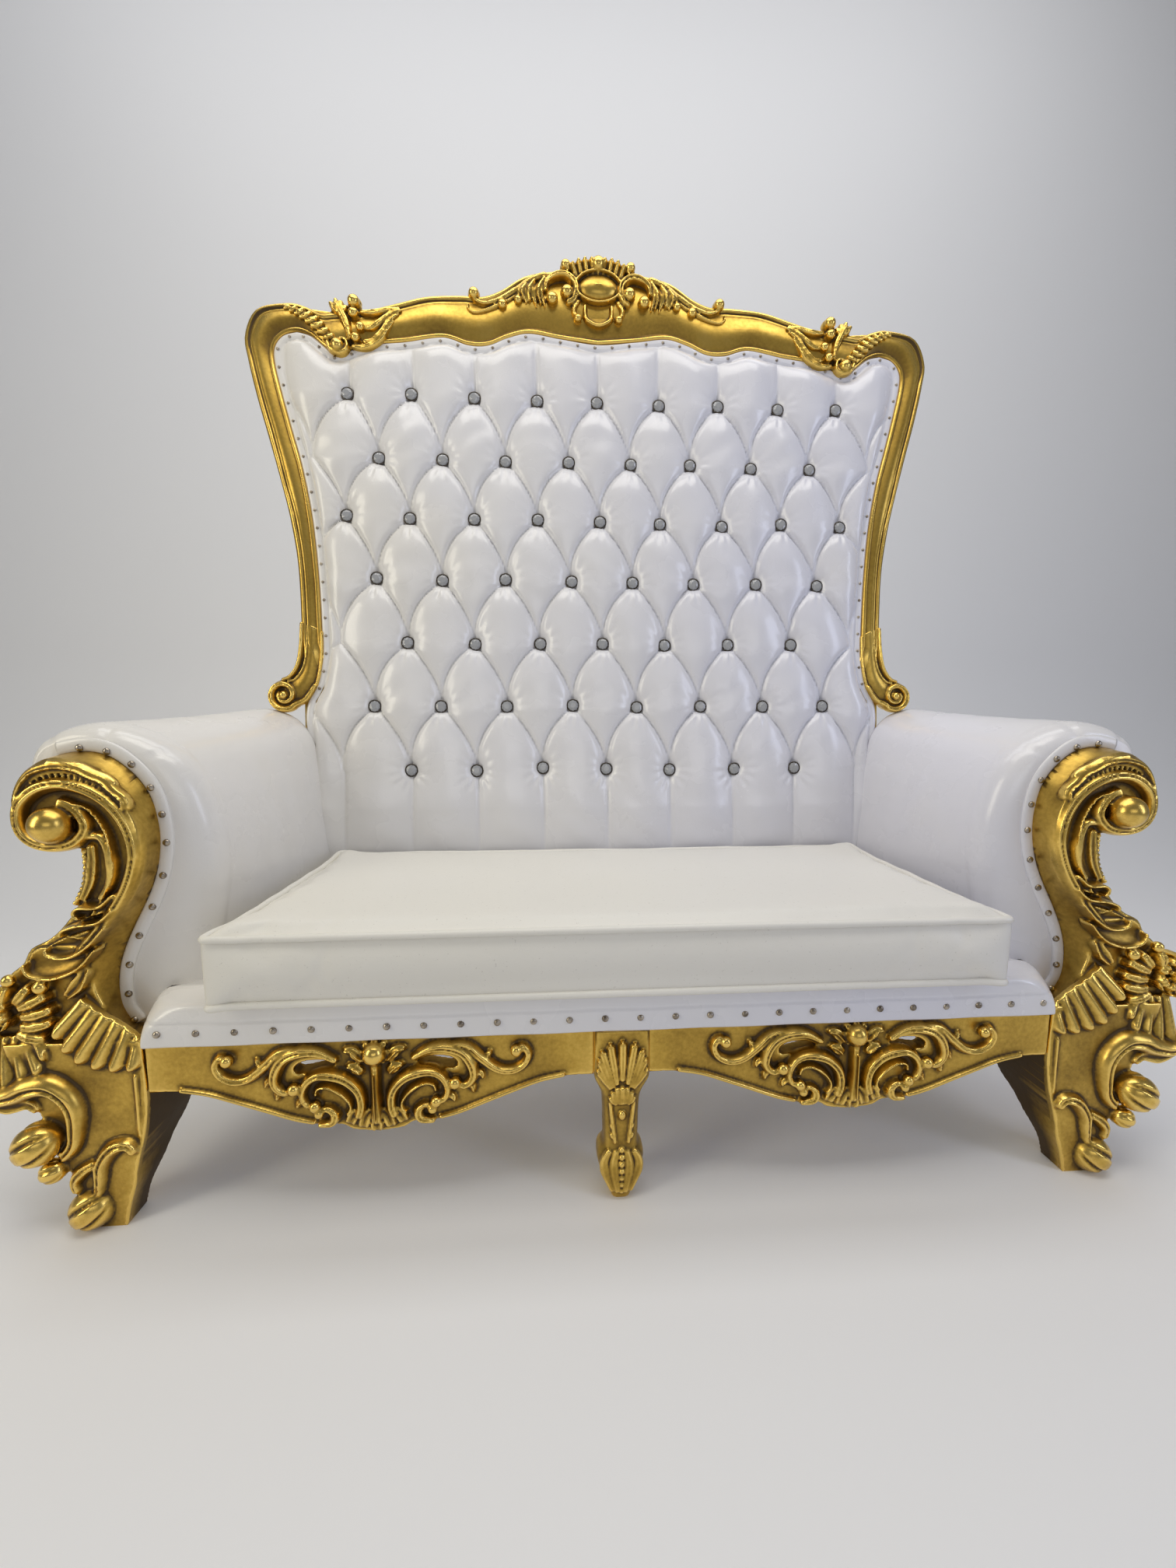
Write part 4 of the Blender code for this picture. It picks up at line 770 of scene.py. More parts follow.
# %% [markdown]
# The crest, the two upper corners and the two side scrolls are carved pieces on that band. Each one gathers
# its own scrolls, leaves and berries, on a thin ground that lies inside the band.

# %% Carve the crest, the corners and the side scrolls
BACK_VOXEL = 0.0018
BACK_KEEP = 0.42
CREST_GROUND = [(0.285, 1.742), (0.250, 1.744), (0.216, 1.760), (0.162, 1.792), (0.118, 1.803), (0.060, 1.808)]
CREST_GROUND_LOW = [(0.060, 1.735), (0.120, 1.742), (0.170, 1.746), (0.230, 1.722), (0.285, 1.722)]
OVAL_RIM = 1.10


def line_for(side):
    """A drawn list as real back coordinates on one side."""
    return lambda points: back_points(points) * (side, 1)


def berry(work, side, x, z, radius, out=0.012):
    """A small ball that rests in a thin cup."""
    centre = line_for(side)([(x, z)])[0]
    work.ball(centre[0], centre[1], radius, out, bands=12, sides=18)
    turn = np.linspace(0, 2 * pi, 13)
    cup = centre + 0.98 * radius * np.column_stack([np.cos(turn), np.sin(turn)])
    work.stroke(cup, [0.0022, 0.0022], out * 0.7)


def carve_crest(work):
    """The oval boss in its rings, the plumes over it, the shield under it, and the scrolls to either side."""
    ground = np.vstack([CREST_GROUND, CREST_GROUND_LOW])
    full = np.vstack([line_for(1)(ground), line_for(-1)(ground)[::-1]])
    work.plate(full, -0.030, 0.003)
    x, z = line_for(1)([CENTRE_OVAL])[0]
    wide, tall = OVAL_HALF
    work.ball(x, z, wide, 0.004, stretch=tall / wide, bands=24, sides=44, bulge=0.42)
    work.stroke([(x - wide * 0.80, z), (x + wide * 0.80, z)], [0.001, 0.006, 0.001], 0.026, section=RIDGED)
    turn = np.linspace(0, 2 * pi, 25)
    ring = np.column_stack([x + wide * OVAL_RIM * np.cos(turn), z + tall * OVAL_RIM * 1.08 * np.sin(turn)])
    work.stroke(ring, [0.0042, 0.0042], 0.021, rings=90)
    shield = np.vstack([line_for(1)(SHIELD), line_for(-1)(SHIELD[:-1])[::-1]])
    work.stroke(shield, [0.0055, 0.0055], 0.016)
    work.plate(np.vstack([shield, [(-0.024, back_z(1.742)), (0.024, back_z(1.742))]]), -0.010, 0.006)
    work.ball(0.0, back_z(1.826), 0.015, 0.016, stretch=1.05)
    work.stroke(line_for(1)(CROWN_STEM), [0.008, 0.012, 0.010], 0.020, section=FLUTED)
    for side in (1, -1):
        line = line_for(side)
        work.ruffle(line(CROWN_ROOTS)[::side], line(CROWN_TIPS)[::side], 4, 0.028, 0.002)
        berry(work, side, *CROWN_BALL, out=0.014)
        work.stroke(line(CROWN_BRACKET), [0.004, 0.005, 0.003], 0.020)
        work.stroke(line(CENTRE_C), [0.005, 0.0095, 0.0095, 0.007], 0.024, section=GROOVED)
        for x, z, radius in CENTRE_BALLS:
            berry(work, side, x, z, radius, out=0.014)
        for berry_at in CREST_BALLS:
            berry(work, side, *berry_at, out=0.010)
        work.stroke(line(SHIELD_LEG), [0.005, 0.008, 0.0055], 0.018, section=FLUTED)
        berry(work, side, 0.046, 1.709, 0.0085)
        for leaf in CREST_LEAVES:
            for shift, rise in ((-0.006, 0.018), (0.001, 0.022), (0.008, 0.017)):
                moved = np.array(leaf) + np.array([(0.0, 0.0), (shift, 0.0), (shift * 1.4, -abs(shift) / 1.5)])
                work.stroke(line(moved), [0.0035, 0.0062, 0.0024], rise, section=ROUND)
        work.stroke(line(CREST_STEM), [0.009, 0.008, 0.005], 0.016, section=FLUTED)
        work.stroke(line(CREST_LOW_STEM), [0.004, 0.0075, 0.0045], 0.014, section=RIDGED)
        for at in (0.30, 0.45, 0.60):
            x, z = resample(CREST_STEM, 101)[int(100 * at)]
            work.stroke(line([(x, z), (x + 0.016, z - 0.012), (x + 0.020, z - 0.024)]), [0.003, 0.0055, 0.002], 0.014,
                        section=RIDGED)


def carve_corner(side):
    """One corner: a long leaf that climbs the crest's end, its curled lobes, and a spray of berries."""
    def carve(work):
        line = line_for(side)
        ground = [(0.590, 1.705), (0.700, 1.716), (0.690, 1.700), (0.640, 1.665), (0.600, 1.633), (0.560, 1.626),
                  (0.520, 1.640), (0.436, 1.700), (0.436, 1.722), (0.520, 1.712)]
        work.plate(line(ground), -0.030, 0.0025)
        work.stroke(line(CORNER_LEAF), [0.004, 0.009, 0.010, 0.007], 0.012)
        trail = resample(CORNER_LEAF, 60)
        ahead = np.gradient(trail, axis=0)
        ahead /= np.linalg.norm(ahead, axis=1)[:, None]
        across = np.column_stack([-ahead[:, 1], ahead[:, 0]])
        for step, size in zip(range(4, 58, 6), (0.6, 0.8, 0.95, 1.05, 1.1, 1.1, 1.0, 0.9, 0.8)):
            middle, way, beside = trail[step], ahead[step] * 0.011 * size, across[step] * 0.014 * size
            work.stroke(line([middle + beside - way, middle + way * 0.2, middle - beside + way * 0.4]),
                        [0.0035 * size, 0.0072 * size, 0.0038 * size], 0.020 * size, section=PETAL)
        work.stroke(line(CORNER_CURL), [0.006, 0.0065, 0.004], 0.018)
        for tip in CORNER_TIPS:
            work.stroke(line([(0.566, 1.694), tip]), [0.005, 0.0082, 0.004], 0.020, section=PETAL)
        work.stroke(line(CORNER_SPRAY), [0.010, 0.011, 0.006], 0.022, section=FLUTED)
        for at in CORNER_BALLS:
            berry(work, side, *at, out=0.013)
        for rib in CORNER_RIBS:
            work.stroke(line(rib), [0.005, 0.0085, 0.0070, 0.0022], 0.017, section=PETAL)
    return carve


def carve_side_scroll(side):
    """The rail's foot sweeps out into a scroll: turn(s) = -0.8 pi + 3.1 pi s, radius(s) = (1 - 0.72 s) times the
    first, and the rail's two mouldings run into its coil."""
    def carve(work):
        line = line_for(side)
        x, z = SIDE_SCROLL
        share = np.linspace(0, 1, 26)
        turn = pi * (3.1 * share - 0.80)
        reach = SIDE_SCROLL_RADIUS * (1 - 0.72 * share)
        coil = np.column_stack([x + reach * np.cos(turn), z + reach * np.sin(turn)])
        rim = np.linspace(0, 2 * pi, 40, endpoint=False)
        disc = (x, z) + SIDE_SCROLL_RADIUS * np.column_stack([np.cos(rim), np.sin(rim)])
        work.plate(line(disc), -BACK_THICKNESS / 2, 0.003)
        inner, outer = resample(line(SWEEP_INNER), 60), resample(line(SWEEP_OUTER), 60)
        a = np.linspace(0, 1, 20)
        work.sheet(inner, outer, 1.0, 0.0, 0.001 + RAIL_CROWN * np.sin(pi * a)**1.5, np.ones(60))
        work.stroke(line(SWEEP_INNER[:4]), [INNER_BEAD, INNER_BEAD], 2 * INNER_BEAD)
        work.stroke(line(SWEEP_OUTER), [0.0055, 0.0060, 0.0045], 0.013)
        work.stroke(line(np.array(SWEEP_OUTER) - (0.012, 0.004)), [0.0026, 0.0026], 0.009)
        work.stroke(line(np.vstack([SWEEP_INNER[2:4], coil])), [0.0050, 0.0082, 0.0072, 0.0050], 0.017, section=GROOVED)
        centre = line([(x, z)])[0]
        work.ball(centre[0], centre[1], 0.0095, 0.008)
    return carve


for name, carve in (("crest_carving", carve_crest), ("left_corner_carving", carve_corner(-1)),
                    ("right_corner_carving", carve_corner(1)), ("left_side_scroll", carve_side_scroll(-1)),
                    ("right_side_scroll", carve_side_scroll(1))):
    work = Carving()
    carve(work)
    piece = fused(work.object(name, back_place), BACK_VOXEL, BACK_KEEP)
    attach(piece, "root")
    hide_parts("back_frame")
    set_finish(piece, "gold")

# %% [markdown]
# ## The front rails and the middle leg
#
# Each front rail carries one mirrored motif of scrolls round a stem, and is pierced on either side of it. The
# holes are cut into the rail's outline by running the outline in to each hole, round it and back out again.

# %% The front rail's drawn pattern
MOTIF_BOSS = np.array([0.0, -0.024])
MOTIF_STEM = [(0.000, -0.036), (0.000, -0.090), (0.000, -0.150)]
MOTIF_LEAVES = [[(0.018, -0.040), (0.036, -0.020), (0.052, -0.018)],
                [(0.020, -0.062), (0.034, -0.048), (0.048, -0.046)]]
UPPER_C = [(0.058, -0.036), (0.087, -0.020), (0.116, -0.017), (0.143, -0.027), (0.158, -0.049), (0.160, -0.072),
           (0.146, -0.086), (0.130, -0.080)]
S_ARM = [(0.115, -0.012), (0.150, -0.017), (0.174, -0.038), (0.199, -0.058), (0.222, -0.063), (0.243, -0.054),
         (0.252, -0.036), (0.243, -0.022), (0.232, -0.027)]
LOWER_C = [(0.031, -0.139), (0.024, -0.113), (0.030, -0.086), (0.053, -0.065), (0.086, -0.058), (0.108, -0.068),
           (0.118, -0.090), (0.112, -0.108), (0.098, -0.112)]
INNER_C = [(0.050, -0.133), (0.041, -0.116), (0.053, -0.095), (0.075, -0.081), (0.094, -0.083), (0.098, -0.098)]
LOW_CURL = [(0.098, -0.147), (0.073, -0.143), (0.068, -0.128), (0.080, -0.118), (0.092, -0.124)]
FAN_LOBES = [(0.024, -0.160), (0.046, -0.152)]
PIERCING = [(0.062, -0.046), (0.088, -0.037), (0.118, -0.039), (0.133, -0.050), (0.127, -0.060), (0.092, -0.054)]
APRON_END_DROP = -0.082
APRON_EDGE = [(0.315, -0.083), (0.270, -0.092), (0.225, -0.108), (0.180, -0.125), (0.135, -0.142),
              (0.100, -0.151), (0.060, -0.153), (0.040, -0.163), (0.000, -0.168)]
DRAWN_APRON_HALF = 0.362
CENTRE_LEG_LEVELS = [(1.02, 1.00, 1.00), (0.90, 1.00, 1.00), (0.74, 1.00, 1.00), (0.60, 0.70, 0.86),
                     (0.40, 0.64, 0.80), (0.31, 0.65, 0.80), (0.26, 0.84, 0.92), (0.20, 0.84, 0.94),
                     (0.10, 0.63, 0.80), (-0.03, 0.26, 0.40)]


def with_hole(outline, hole):
    """The outline runs in to the hole at their nearest points, round it the other way, and back out."""
    gaps = np.linalg.norm(outline[:, None] - hole[None], axis=2)
    at, to = np.unravel_index(gaps.argmin(), gaps.shape)
    signed = lambda ring: ((ring[:, 0] * np.roll(ring[:, 1], -1)) - (np.roll(ring[:, 0], -1) * ring[:, 1])).sum()
    ring = np.roll(hole, -to, axis=0)
    if np.sign(signed(ring)) == np.sign(signed(outline)):
        ring = np.vstack([ring[:1], ring[1:][::-1]])
    return np.vstack([outline[:at + 1], ring, ring[:1], outline[at:]])


print("rail motif drawn with", len(UPPER_C) + len(S_ARM) + len(LOWER_C), "points in its three main scrolls")

# %% Carve the front rails
CENTRE_LEG_HALF = 0.048
APRON_NEAR = CENTRE_LEG_HALF + GAP
APRON_FAR = APRON_HALF_RUN - GAP
APRON_VOXEL = 0.0020
APRON_KEEP = 0.38


def carve_apron(work):
    """The rail's plate with its shaped lower edge and bead, and the motif on both sides of its stem."""
    stretch = (APRON_FAR - APRON_NEAR) / 2 / DRAWN_APRON_HALF
    edge = resample([(DRAWN_APRON_HALF, APRON_END_DROP)] + APRON_EDGE, 70) * (stretch, 1)
    spare = (APRON_FAR - APRON_NEAR) / 2 + 2 * APRON_VOXEL
    edge[0, 0] = spare
    outline = np.vstack([edge, (edge * (-1, 1))[-2::-1], [(-spare, 2 * APRON_VOXEL), (spare, 2 * APRON_VOXEL)]])
    for turn in (1, -1):
        outline = with_hole(outline, resample(PIERCING + PIERCING[:1], 40)[:-1] * (turn, 1))
    work.plate(outline, -APRON_THICKNESS, 0.0)
    work.ball(*MOTIF_BOSS, 0.019, 0.008, bands=16, sides=24)
    for petal in np.arange(8):
        turn = 2 * pi * petal / 8
        way = np.array([np.cos(turn), np.sin(turn)])
        work.stroke([MOTIF_BOSS + way * 0.014, MOTIF_BOSS + way * 0.026], [0.003, 0.006, 0.004], 0.013,
                    section=CUPPED)
    work.stroke(MOTIF_STEM, [0.009, 0.008, 0.012], 0.020, section=FLUTED)
    work.stroke([(0.0, -0.052), (0.0, -0.140)], [0.0022, 0.0022], 0.024, section=RIDGED)
    for x, z in FAN_LOBES:
        for turn in (1, -1):
            work.stroke([(turn * x * 0.35, z + 0.038), (turn * x * 0.8, z + 0.020), (turn * x, z + 0.002)],
                        [0.004, 0.009, 0.010], 0.016, section=CUPPED)
    work.stroke([(0.0, -0.132), (0.0, -0.164)], [0.005, 0.011, 0.010], 0.020, section=CUPPED)
    for turn in (1, -1):
        line = lambda points: mirrored(points, turn)
        for leaf in MOTIF_LEAVES:
            work.stroke(line(leaf), [0.007, 0.010, 0.004], 0.018, section=RIBBED)
        work.stroke(line(UPPER_C), [0.005, 0.0105, 0.0105, 0.0055], 0.019, section=GROOVED)
        work.stroke(line(S_ARM), [0.004, 0.009, 0.008, 0.006], 0.017, section=GROOVED)
        work.stroke(line(LOWER_C), [0.008, 0.010, 0.0055], 0.019, section=GROOVED)
        work.stroke(line(INNER_C), [0.004, 0.007, 0.0035], 0.015, section=RIDGED)
        work.stroke(line(LOW_CURL), [0.005, 0.009, 0.004], 0.017, section=GROOVED)
        for ends, radius in ((UPPER_C, 0.0105), (S_ARM, 0.010), (LOWER_C, 0.0095), (LOW_CURL, 0.0085)):
            x, z = ends[-1]
            work.ball(turn * x, z, radius, 0.010, bands=10, sides=16)
        for root, tip in (((0.160, -0.060), (0.178, -0.080)), ((0.150, -0.080), (0.160, -0.104)),
                          ((0.176, -0.046), (0.190, -0.026)), ((0.112, -0.100), (0.130, -0.118))):
            middle = (np.array(root) + tip) / 2 + (0.003, 0.002)
            work.stroke(line([root, middle, tip]), [0.0035, 0.007, 0.002], 0.015, section=RIBBED)
        work.stroke(np.array(line(APRON_EDGE[:6])) * (stretch, 1) + (0, 0.0052), [0.0042, 0.0042], 0.007, rings=90)


def apron_trim(side):
    """Points past a neighbour are brought back to it: the middle leg, the arm front and the seat."""
    def trim(points):
        x = side * np.clip(side * points[:, 0], APRON_NEAR, APRON_FAR)
        return np.column_stack([x, points[:, 1], np.minimum(points[:, 2], APRON_TOP)])
    return trim


for side, word in SIDES:
    work = Carving()
    carve_apron(work)
    middle = (APRON_NEAR + APRON_FAR) / 2
    place = lambda x, z, out: (side * (middle + x), APRON_FACE - out, APRON_TOP + z)
    piece = fused(work.object(word + "_apron_carving", place), APRON_VOXEL, APRON_KEEP, apron_trim(side))
    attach(piece, "root")
    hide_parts(word + "_apron")
    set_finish(piece, "gold")

# %% Carve the middle leg
LEG_CENTRE_DEPTH = 0.075
LEG_VOXEL = 0.0016
LEG_KEEP = 0.42
LEG_CENTRE_FORWARD = 0.014
LEG_HEAD = [(0.000, 0.955), (0.021, 0.940), (0.035, 0.900), (0.040, 0.845), (0.042, 0.785)]
LEG_SECOND = [(0.000, 0.695), (0.009, 0.688), (0.017, 0.665), (0.021, 0.635)]
LEG_SECOND_ROOT = 0.575
LEG_STEM = [(0.021, 0.600), (0.016, 0.460), (0.011, 0.335)]
LEG_LEAFLETS = [[(0.0165, 0.500), (0.0205, 0.535)], [(0.0145, 0.430), (0.0205, 0.465)],
                [(0.0125, 0.370), (0.0205, 0.405)]]
LEG_GORES = [[(0.008, 0.310), (0.013, 0.205), (0.006, 0.040)], [(0.020, 0.305), (0.030, 0.215), (0.014, 0.045)]]


def carve_centre_leg(work):
    """Rings of |cos|^p and |sin|^p make a square head for a small p, and a soft square below it for p = 0.6, which
    narrows and swells down to a bulb foot."""
    share, wide, deep = resample(CENTRE_LEG_LEVELS, 150).T
    half = CENTRE_LEG_HALF * wide
    front = LEG_CENTRE_FORWARD * deep
    half_depth = LEG_CENTRE_DEPTH * deep / 2
    turn = np.linspace(0, 2 * pi, 60, endpoint=False)[None, :]
    power = np.interp(share, [0.60, 0.72], [0.60, 0.22])[:, None]
    soft = lambda wave: np.sign(wave) * np.abs(wave)**power
    height = share * APRON_TOP
    rings = np.stack([half[:, None] * soft(np.cos(turn)), np.repeat(height[:, None], 60, axis=1),
                      (front - half_depth)[:, None] + half_depth[:, None] * soft(np.sin(turn))], axis=-1)
    work.skin(rings)
    for x, tip in LEG_HEAD:
        for turn in (1, -1)[:1 + (x > 0)]:
            root = (x * 0.40, 0.715 - 1.2 * x)
            middle = (x * 0.72, 0.45 * root[1] + 0.55 * tip)
            leg_lobe(work, [root, middle, (x, tip)], turn, [0.0045, 0.0078, 0.0078], 0.012)
            leg_lobe(work, [(x - 0.004, tip), (x + 0.003, tip - 0.008)], turn, [0.0042, 0.0042], 0.015)
    for x, tip in LEG_SECOND:
        for turn in (1, -1)[:1 + (x > 0)]:
            lobe = [(x * 0.35, LEG_SECOND_ROOT), (x * 0.85, 0.4 * LEG_SECOND_ROOT + 0.6 * tip), (x, tip)]
            leg_lobe(work, lobe, turn, [0.003, 0.0056, 0.005], 0.010)
    work.ball(0.0, 0.515 * APRON_TOP, 0.0072, LEG_CENTRE_FORWARD * 0.86, stretch=1.3)
    for turn in (1, -1):
        leg_lobe(work, LEG_STEM, turn, [0.0032, 0.0040, 0.0030], 0.006)
        for leaflet in LEG_LEAFLETS:
            leg_lobe(work, leaflet, turn, [0.0024, 0.0040, 0.0016], 0.006)
        for gore in LEG_GORES:
            leg_lobe(work, gore, turn, [0.005, 0.0098, 0.005], 0.007)
    for share_at in np.linspace(0.305, 0.055, 7):
        ahead = np.interp(share_at, share[::-1], front[::-1])
        work.ball(0.0, share_at * APRON_TOP, 0.0056, ahead + 0.001, bands=8, sides=12)


def leg_lobe(work, path, turn, widths, rise):
    """A lobe on the leg's face, with x in metres and the height as a share of the leg's; the face falls away
    towards the leg's sides."""
    path = [(turn * x, share * APRON_TOP) for x, share in path]
    outermost = max(abs(x) for x, _ in path)
    work.stroke(path, widths, rise, base=LEG_CENTRE_FORWARD * 0.86 - 0.10 * outermost, section=PETAL)


def leg_trim(points):
    """The middle leg stays between its neighbours, the floor and the seat."""
    x = np.clip(points[:, 0], -CENTRE_LEG_HALF, CENTRE_LEG_HALF)
    return np.column_stack([x, points[:, 1], np.clip(points[:, 2], 0.0, APRON_TOP)])


work = Carving()
carve_centre_leg(work)
middle_leg = fused(work.object("centre_leg_carving", lambda x, z, out: (x, APRON_FACE - out, z)), LEG_VOXEL, LEG_KEEP,
                   leg_trim)
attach(middle_leg, "root")
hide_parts("centre_leg")
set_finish(middle_leg, "gold")

# %% [markdown]
# ## The buttoned back
#
# The buttons stand in rows, each row half a step to the side of the next, so they lie on a lattice of diamonds.
# With u and v counting the two sets of slanted creases, every button has whole u and v. The leather between
# them puffs out a little, as (|sin(pi u)| |sin(pi v)|)^0.5, and the creases themselves are narrow. Each one leaves
# its upper button sideways and comes down on the lower one, so the panels look like fish scales. Above the first
# row and below the last one the creases run straight up and down as pleats.

# %% Where the buttons are
ROW_HEIGHTS = np.array([1.533, 1.398, 1.268, 1.134, 0.996, 0.856, 0.714])
ROW_STEPS = np.array([0.1372, 0.1395, 0.1400, 0.1425, 0.1450, 0.1460, 0.1460])
ROW_CENTRES = np.array([0.000, 0.000, 0.001, 0.005, 0.007, 0.010, 0.014])
ROW_COUNTS = [9, 8, 9, 8, 7, 8, 7]
PAD_BOTTOM = APRON_TOP + 0.003
PAD_SWELL = 0.016
PILLOW_POWER = 0.50
ROW_SPACING = 0.138
CREASE_WIDTH = 0.0036
LEFT_BOW = 2.6
RIGHT_BOW = 1.7
BUTTON_OUT = 0.0020
GROUND_OUT = 0.007
EDGE_FALL = 0.042
CREASE_DEPTH = 0.0042
FAN_DEPTH = 0.0016
DIMPLE_DEPTH, DIMPLE_REACH = 0.010, 0.020
WELL_DEPTH, WELL_REACH = 0.009, 0.013
STRIP_OUT = 0.0035


def row_of(z):
    """Which row a height is at, as a number that runs on smoothly past the first and last rows."""
    inside = np.interp(z, ROW_HEIGHTS[::-1], np.arange(6, -1, -1))
    above = (ROW_HEIGHTS[0] - z) / 0.135
    below = 6 + (ROW_HEIGHTS[-1] - z) / 0.142
    return np.where(z > ROW_HEIGHTS[0], above, np.where(z < ROW_HEIGHTS[-1], below, inside))


def step_at(z):
    """The distance between a row's buttons, and the row's middle, at any height."""
    return np.interp(z, ROW_HEIGHTS[::-1], ROW_STEPS[::-1]), np.interp(z, ROW_HEIGHTS[::-1], ROW_CENTRES[::-1])


button_x, button_z = [], []
for row, count in enumerate(ROW_COUNTS):
    steps = np.arange(count) - (count - 1) / 2
    button_x.append(ROW_CENTRES[row] + steps * ROW_STEPS[row])
    button_z.append(np.full(count, ROW_HEIGHTS[row]))
button_x, button_z = np.concatenate(button_x), np.concatenate(button_z)
uneven = np.random.default_rng(8)
button_x = button_x + uneven.normal(0, 0.0018, len(button_x))
button_z = button_z + uneven.normal(0, 0.0018, len(button_z))
print(len(button_x), "buttons in", len(ROW_COUNTS), "rows")

# %% The puffed leather between them
PAD_COLUMNS = 310
PAD_ROWS = 300
BORDER = 0.016
CORNER_AT = 10
OPENING_FOOT = [(0.652, 0.780), (0.656, 0.830), (0.650, 0.866), (0.632, 0.900), (0.621, 0.950)]


def opening_sides():
    """The opening's left, right, bottom and top sides, each as a run of points."""
    side = np.vstack([[(0.650, PAD_BOTTOM)], back_points(dense_curve(OPENING_FOOT + INNER_SIDE[1:CORNER_AT + 1]))])
    side = even_steps(side, PAD_ROWS)
    top_half = np.vstack([back_points(INNER_SIDE[CORNER_AT:]), back_points(INNER_CREST)])
    top = np.vstack([top_half, (top_half * (-1, 1))[-2::-1]])
    top = resample(top, PAD_COLUMNS)[::-1]
    bottom = np.column_stack([np.linspace(-side[0, 0], side[0, 0], PAD_COLUMNS), np.full(PAD_COLUMNS, PAD_BOTTOM)])
    return side * (-1, 1), side, bottom, top


def filled(left, right, bottom, top):
    """Coons patch: the two ruled surfaces between facing sides, less the one between the four corners."""
    s = np.linspace(0, 1, len(bottom))[None, :, None]
    t = np.linspace(0, 1, len(left))[:, None, None]
    across = left[:, None] * (1 - s) + right[:, None] * s
    up = bottom[None] * (1 - t) + top[None] * t
    corners = (bottom[0] * (1 - s) + bottom[-1] * s) * (1 - t) + (top[0] * (1 - s) + top[-1] * s) * t
    return across + up - corners


left, right, bottom, top = opening_sides()
patch = filled(left, right, bottom, top)
rim = np.vstack([left, top, right[::-1], bottom[::-1]])
print("opening %.2f by %.2f m" % (np.ptp(rim[:, 0]), np.ptp(rim[:, 1])))


def rim_distance(points):
    """How far each point of the patch is from the opening's edge."""
    return np.stack([np.sqrt(((row[:, None] - rim[None]) ** 2).sum(axis=2).min(axis=1)) for row in points])


def bowed(row, power):
    """A crease leaves its upper button sideways and comes straight down on the lower one: whole + 1 - (1 - f)^power,
    where f is the row's fraction, and the slope of that."""
    whole = np.floor(row)
    left_over = 1 - (row - whole)
    return whole + 1 - left_over ** power, power * left_over ** (power - 1)


def crease(phase, slope, step):
    """1 on a crease and 0 a few millimetres away: exp(-(distance / width)^2), with distance = |phase from its
    nearest whole number| / the length of its gradient."""
    distance = np.abs(phase - np.round(phase)) / np.sqrt(step ** -2 + (slope / (2 * ROW_SPACING)) ** 2)
    return np.exp(-(distance / CREASE_WIDTH) ** 2)


def puffed(x, z, edge):
    """Distance out of the frame's plane for the tufted leather at (x, z), where edge is the distance to the rim:
    low pillows, narrow creases, a dimple round each button that reaches farther up than down, and short folds that
    fan out below it."""
    step, centre = step_at(z)
    row = row_of(z)
    across = (x - centre) / step
    to_left, left_slope = bowed(row, LEFT_BOW)
    to_right, right_slope = bowed(row, RIGHT_BOW)
    u, v = across + to_left / 2, -across + to_right / 2
    wavy = across + 0.02 * np.sin(9 * z + 4 * x)
    between_rows = (row > 0) & (row < 6)
    pillow = np.where(between_rows, np.abs(np.sin(pi * u) * np.sin(pi * v)), np.sin(pi * wavy) ** 2) ** PILLOW_POWER
    folds = np.where(between_rows, np.maximum(crease(u, left_slope, step), crease(v, right_slope, step)),
                     0.8 * crease(wavy, 0.0, step))
    off_x, off_z = x[..., None] - button_x, z[..., None] - button_z
    gap = np.sqrt(off_x ** 2 + (off_z / np.where(off_z > 0, 1.8, 1.0)) ** 2)
    near = gap.min(axis=-1)
    which = gap.argmin(axis=-1)
    turn = np.arctan2(z - button_z[which], x - button_x[which])
    fans = FAN_DEPTH * np.sin(12 * turn + 1.7 * which) * np.exp(-((near - 0.030) / 0.014) ** 2)
    fans = fans * (0.30 + 0.70 * np.clip(-np.sin(turn), 0, 1))
    soft = 0.0016 * np.sin(31 * x + 7 * np.sin(11 * z)) * np.sin(23 * z + 5 * np.sin(9 * x)) * pillow
    inside = np.clip((edge - BORDER) / EDGE_FALL, 0, 1)
    fall = np.sqrt(np.clip(1 - (1 - inside) ** 2, 0, 1))
    seat = np.clip((z - 0.53) / 0.10, 0, 1) ** 0.7
    height = GROUND_OUT + PAD_SWELL * pillow - CREASE_DEPTH * folds + fans + soft
    dimple = DIMPLE_DEPTH * np.exp(-near / DIMPLE_REACH) + WELL_DEPTH * np.exp(-(near / WELL_REACH) ** 2)
    strip = STRIP_OUT * np.clip(edge / 0.003, 0, 1) * np.clip((BORDER - edge) / 0.003, 0, 1)
    return fall * height * (0.25 + 0.75 * seat) - dimple + strip - 0.0015 * np.exp(-((edge - BORDER) / 0.0018) ** 2)


def quads_of(grid):
    """The four-sided faces between a grid's entries."""
    return np.stack([grid[:-1, :-1], grid[:-1, 1:], grid[1:, 1:], grid[1:, :-1]], axis=-1).reshape(-1, 4)


def ring_of(grid):
    """A grid's outer entries in order: along the bottom, up the right side, back along the top and down."""
    return np.concatenate([grid[0, :-1], grid[:-1, -1], grid[-1, :0:-1], grid[:0:-1, 0]])


def walls_of(ring, behind):
    """Faces that join two rings of equal length."""
    return np.stack([ring, behind, np.roll(behind, -1), np.roll(ring, -1)], axis=-1)


def closed_panel(name, front, back):
    """Two grids of the same shape joined round their rims into one closed skin."""
    rows, columns = front.shape[:2]
    here = np.arange(rows * columns).reshape(rows, columns)
    there = here + rows * columns
    faces = np.vstack([quads_of(here), quads_of(there)[:, ::-1], walls_of(ring_of(here), ring_of(there))])
    return grid_object(name, np.vstack([front.reshape(-1, 3), back.reshape(-1, 3)]), faces.tolist())


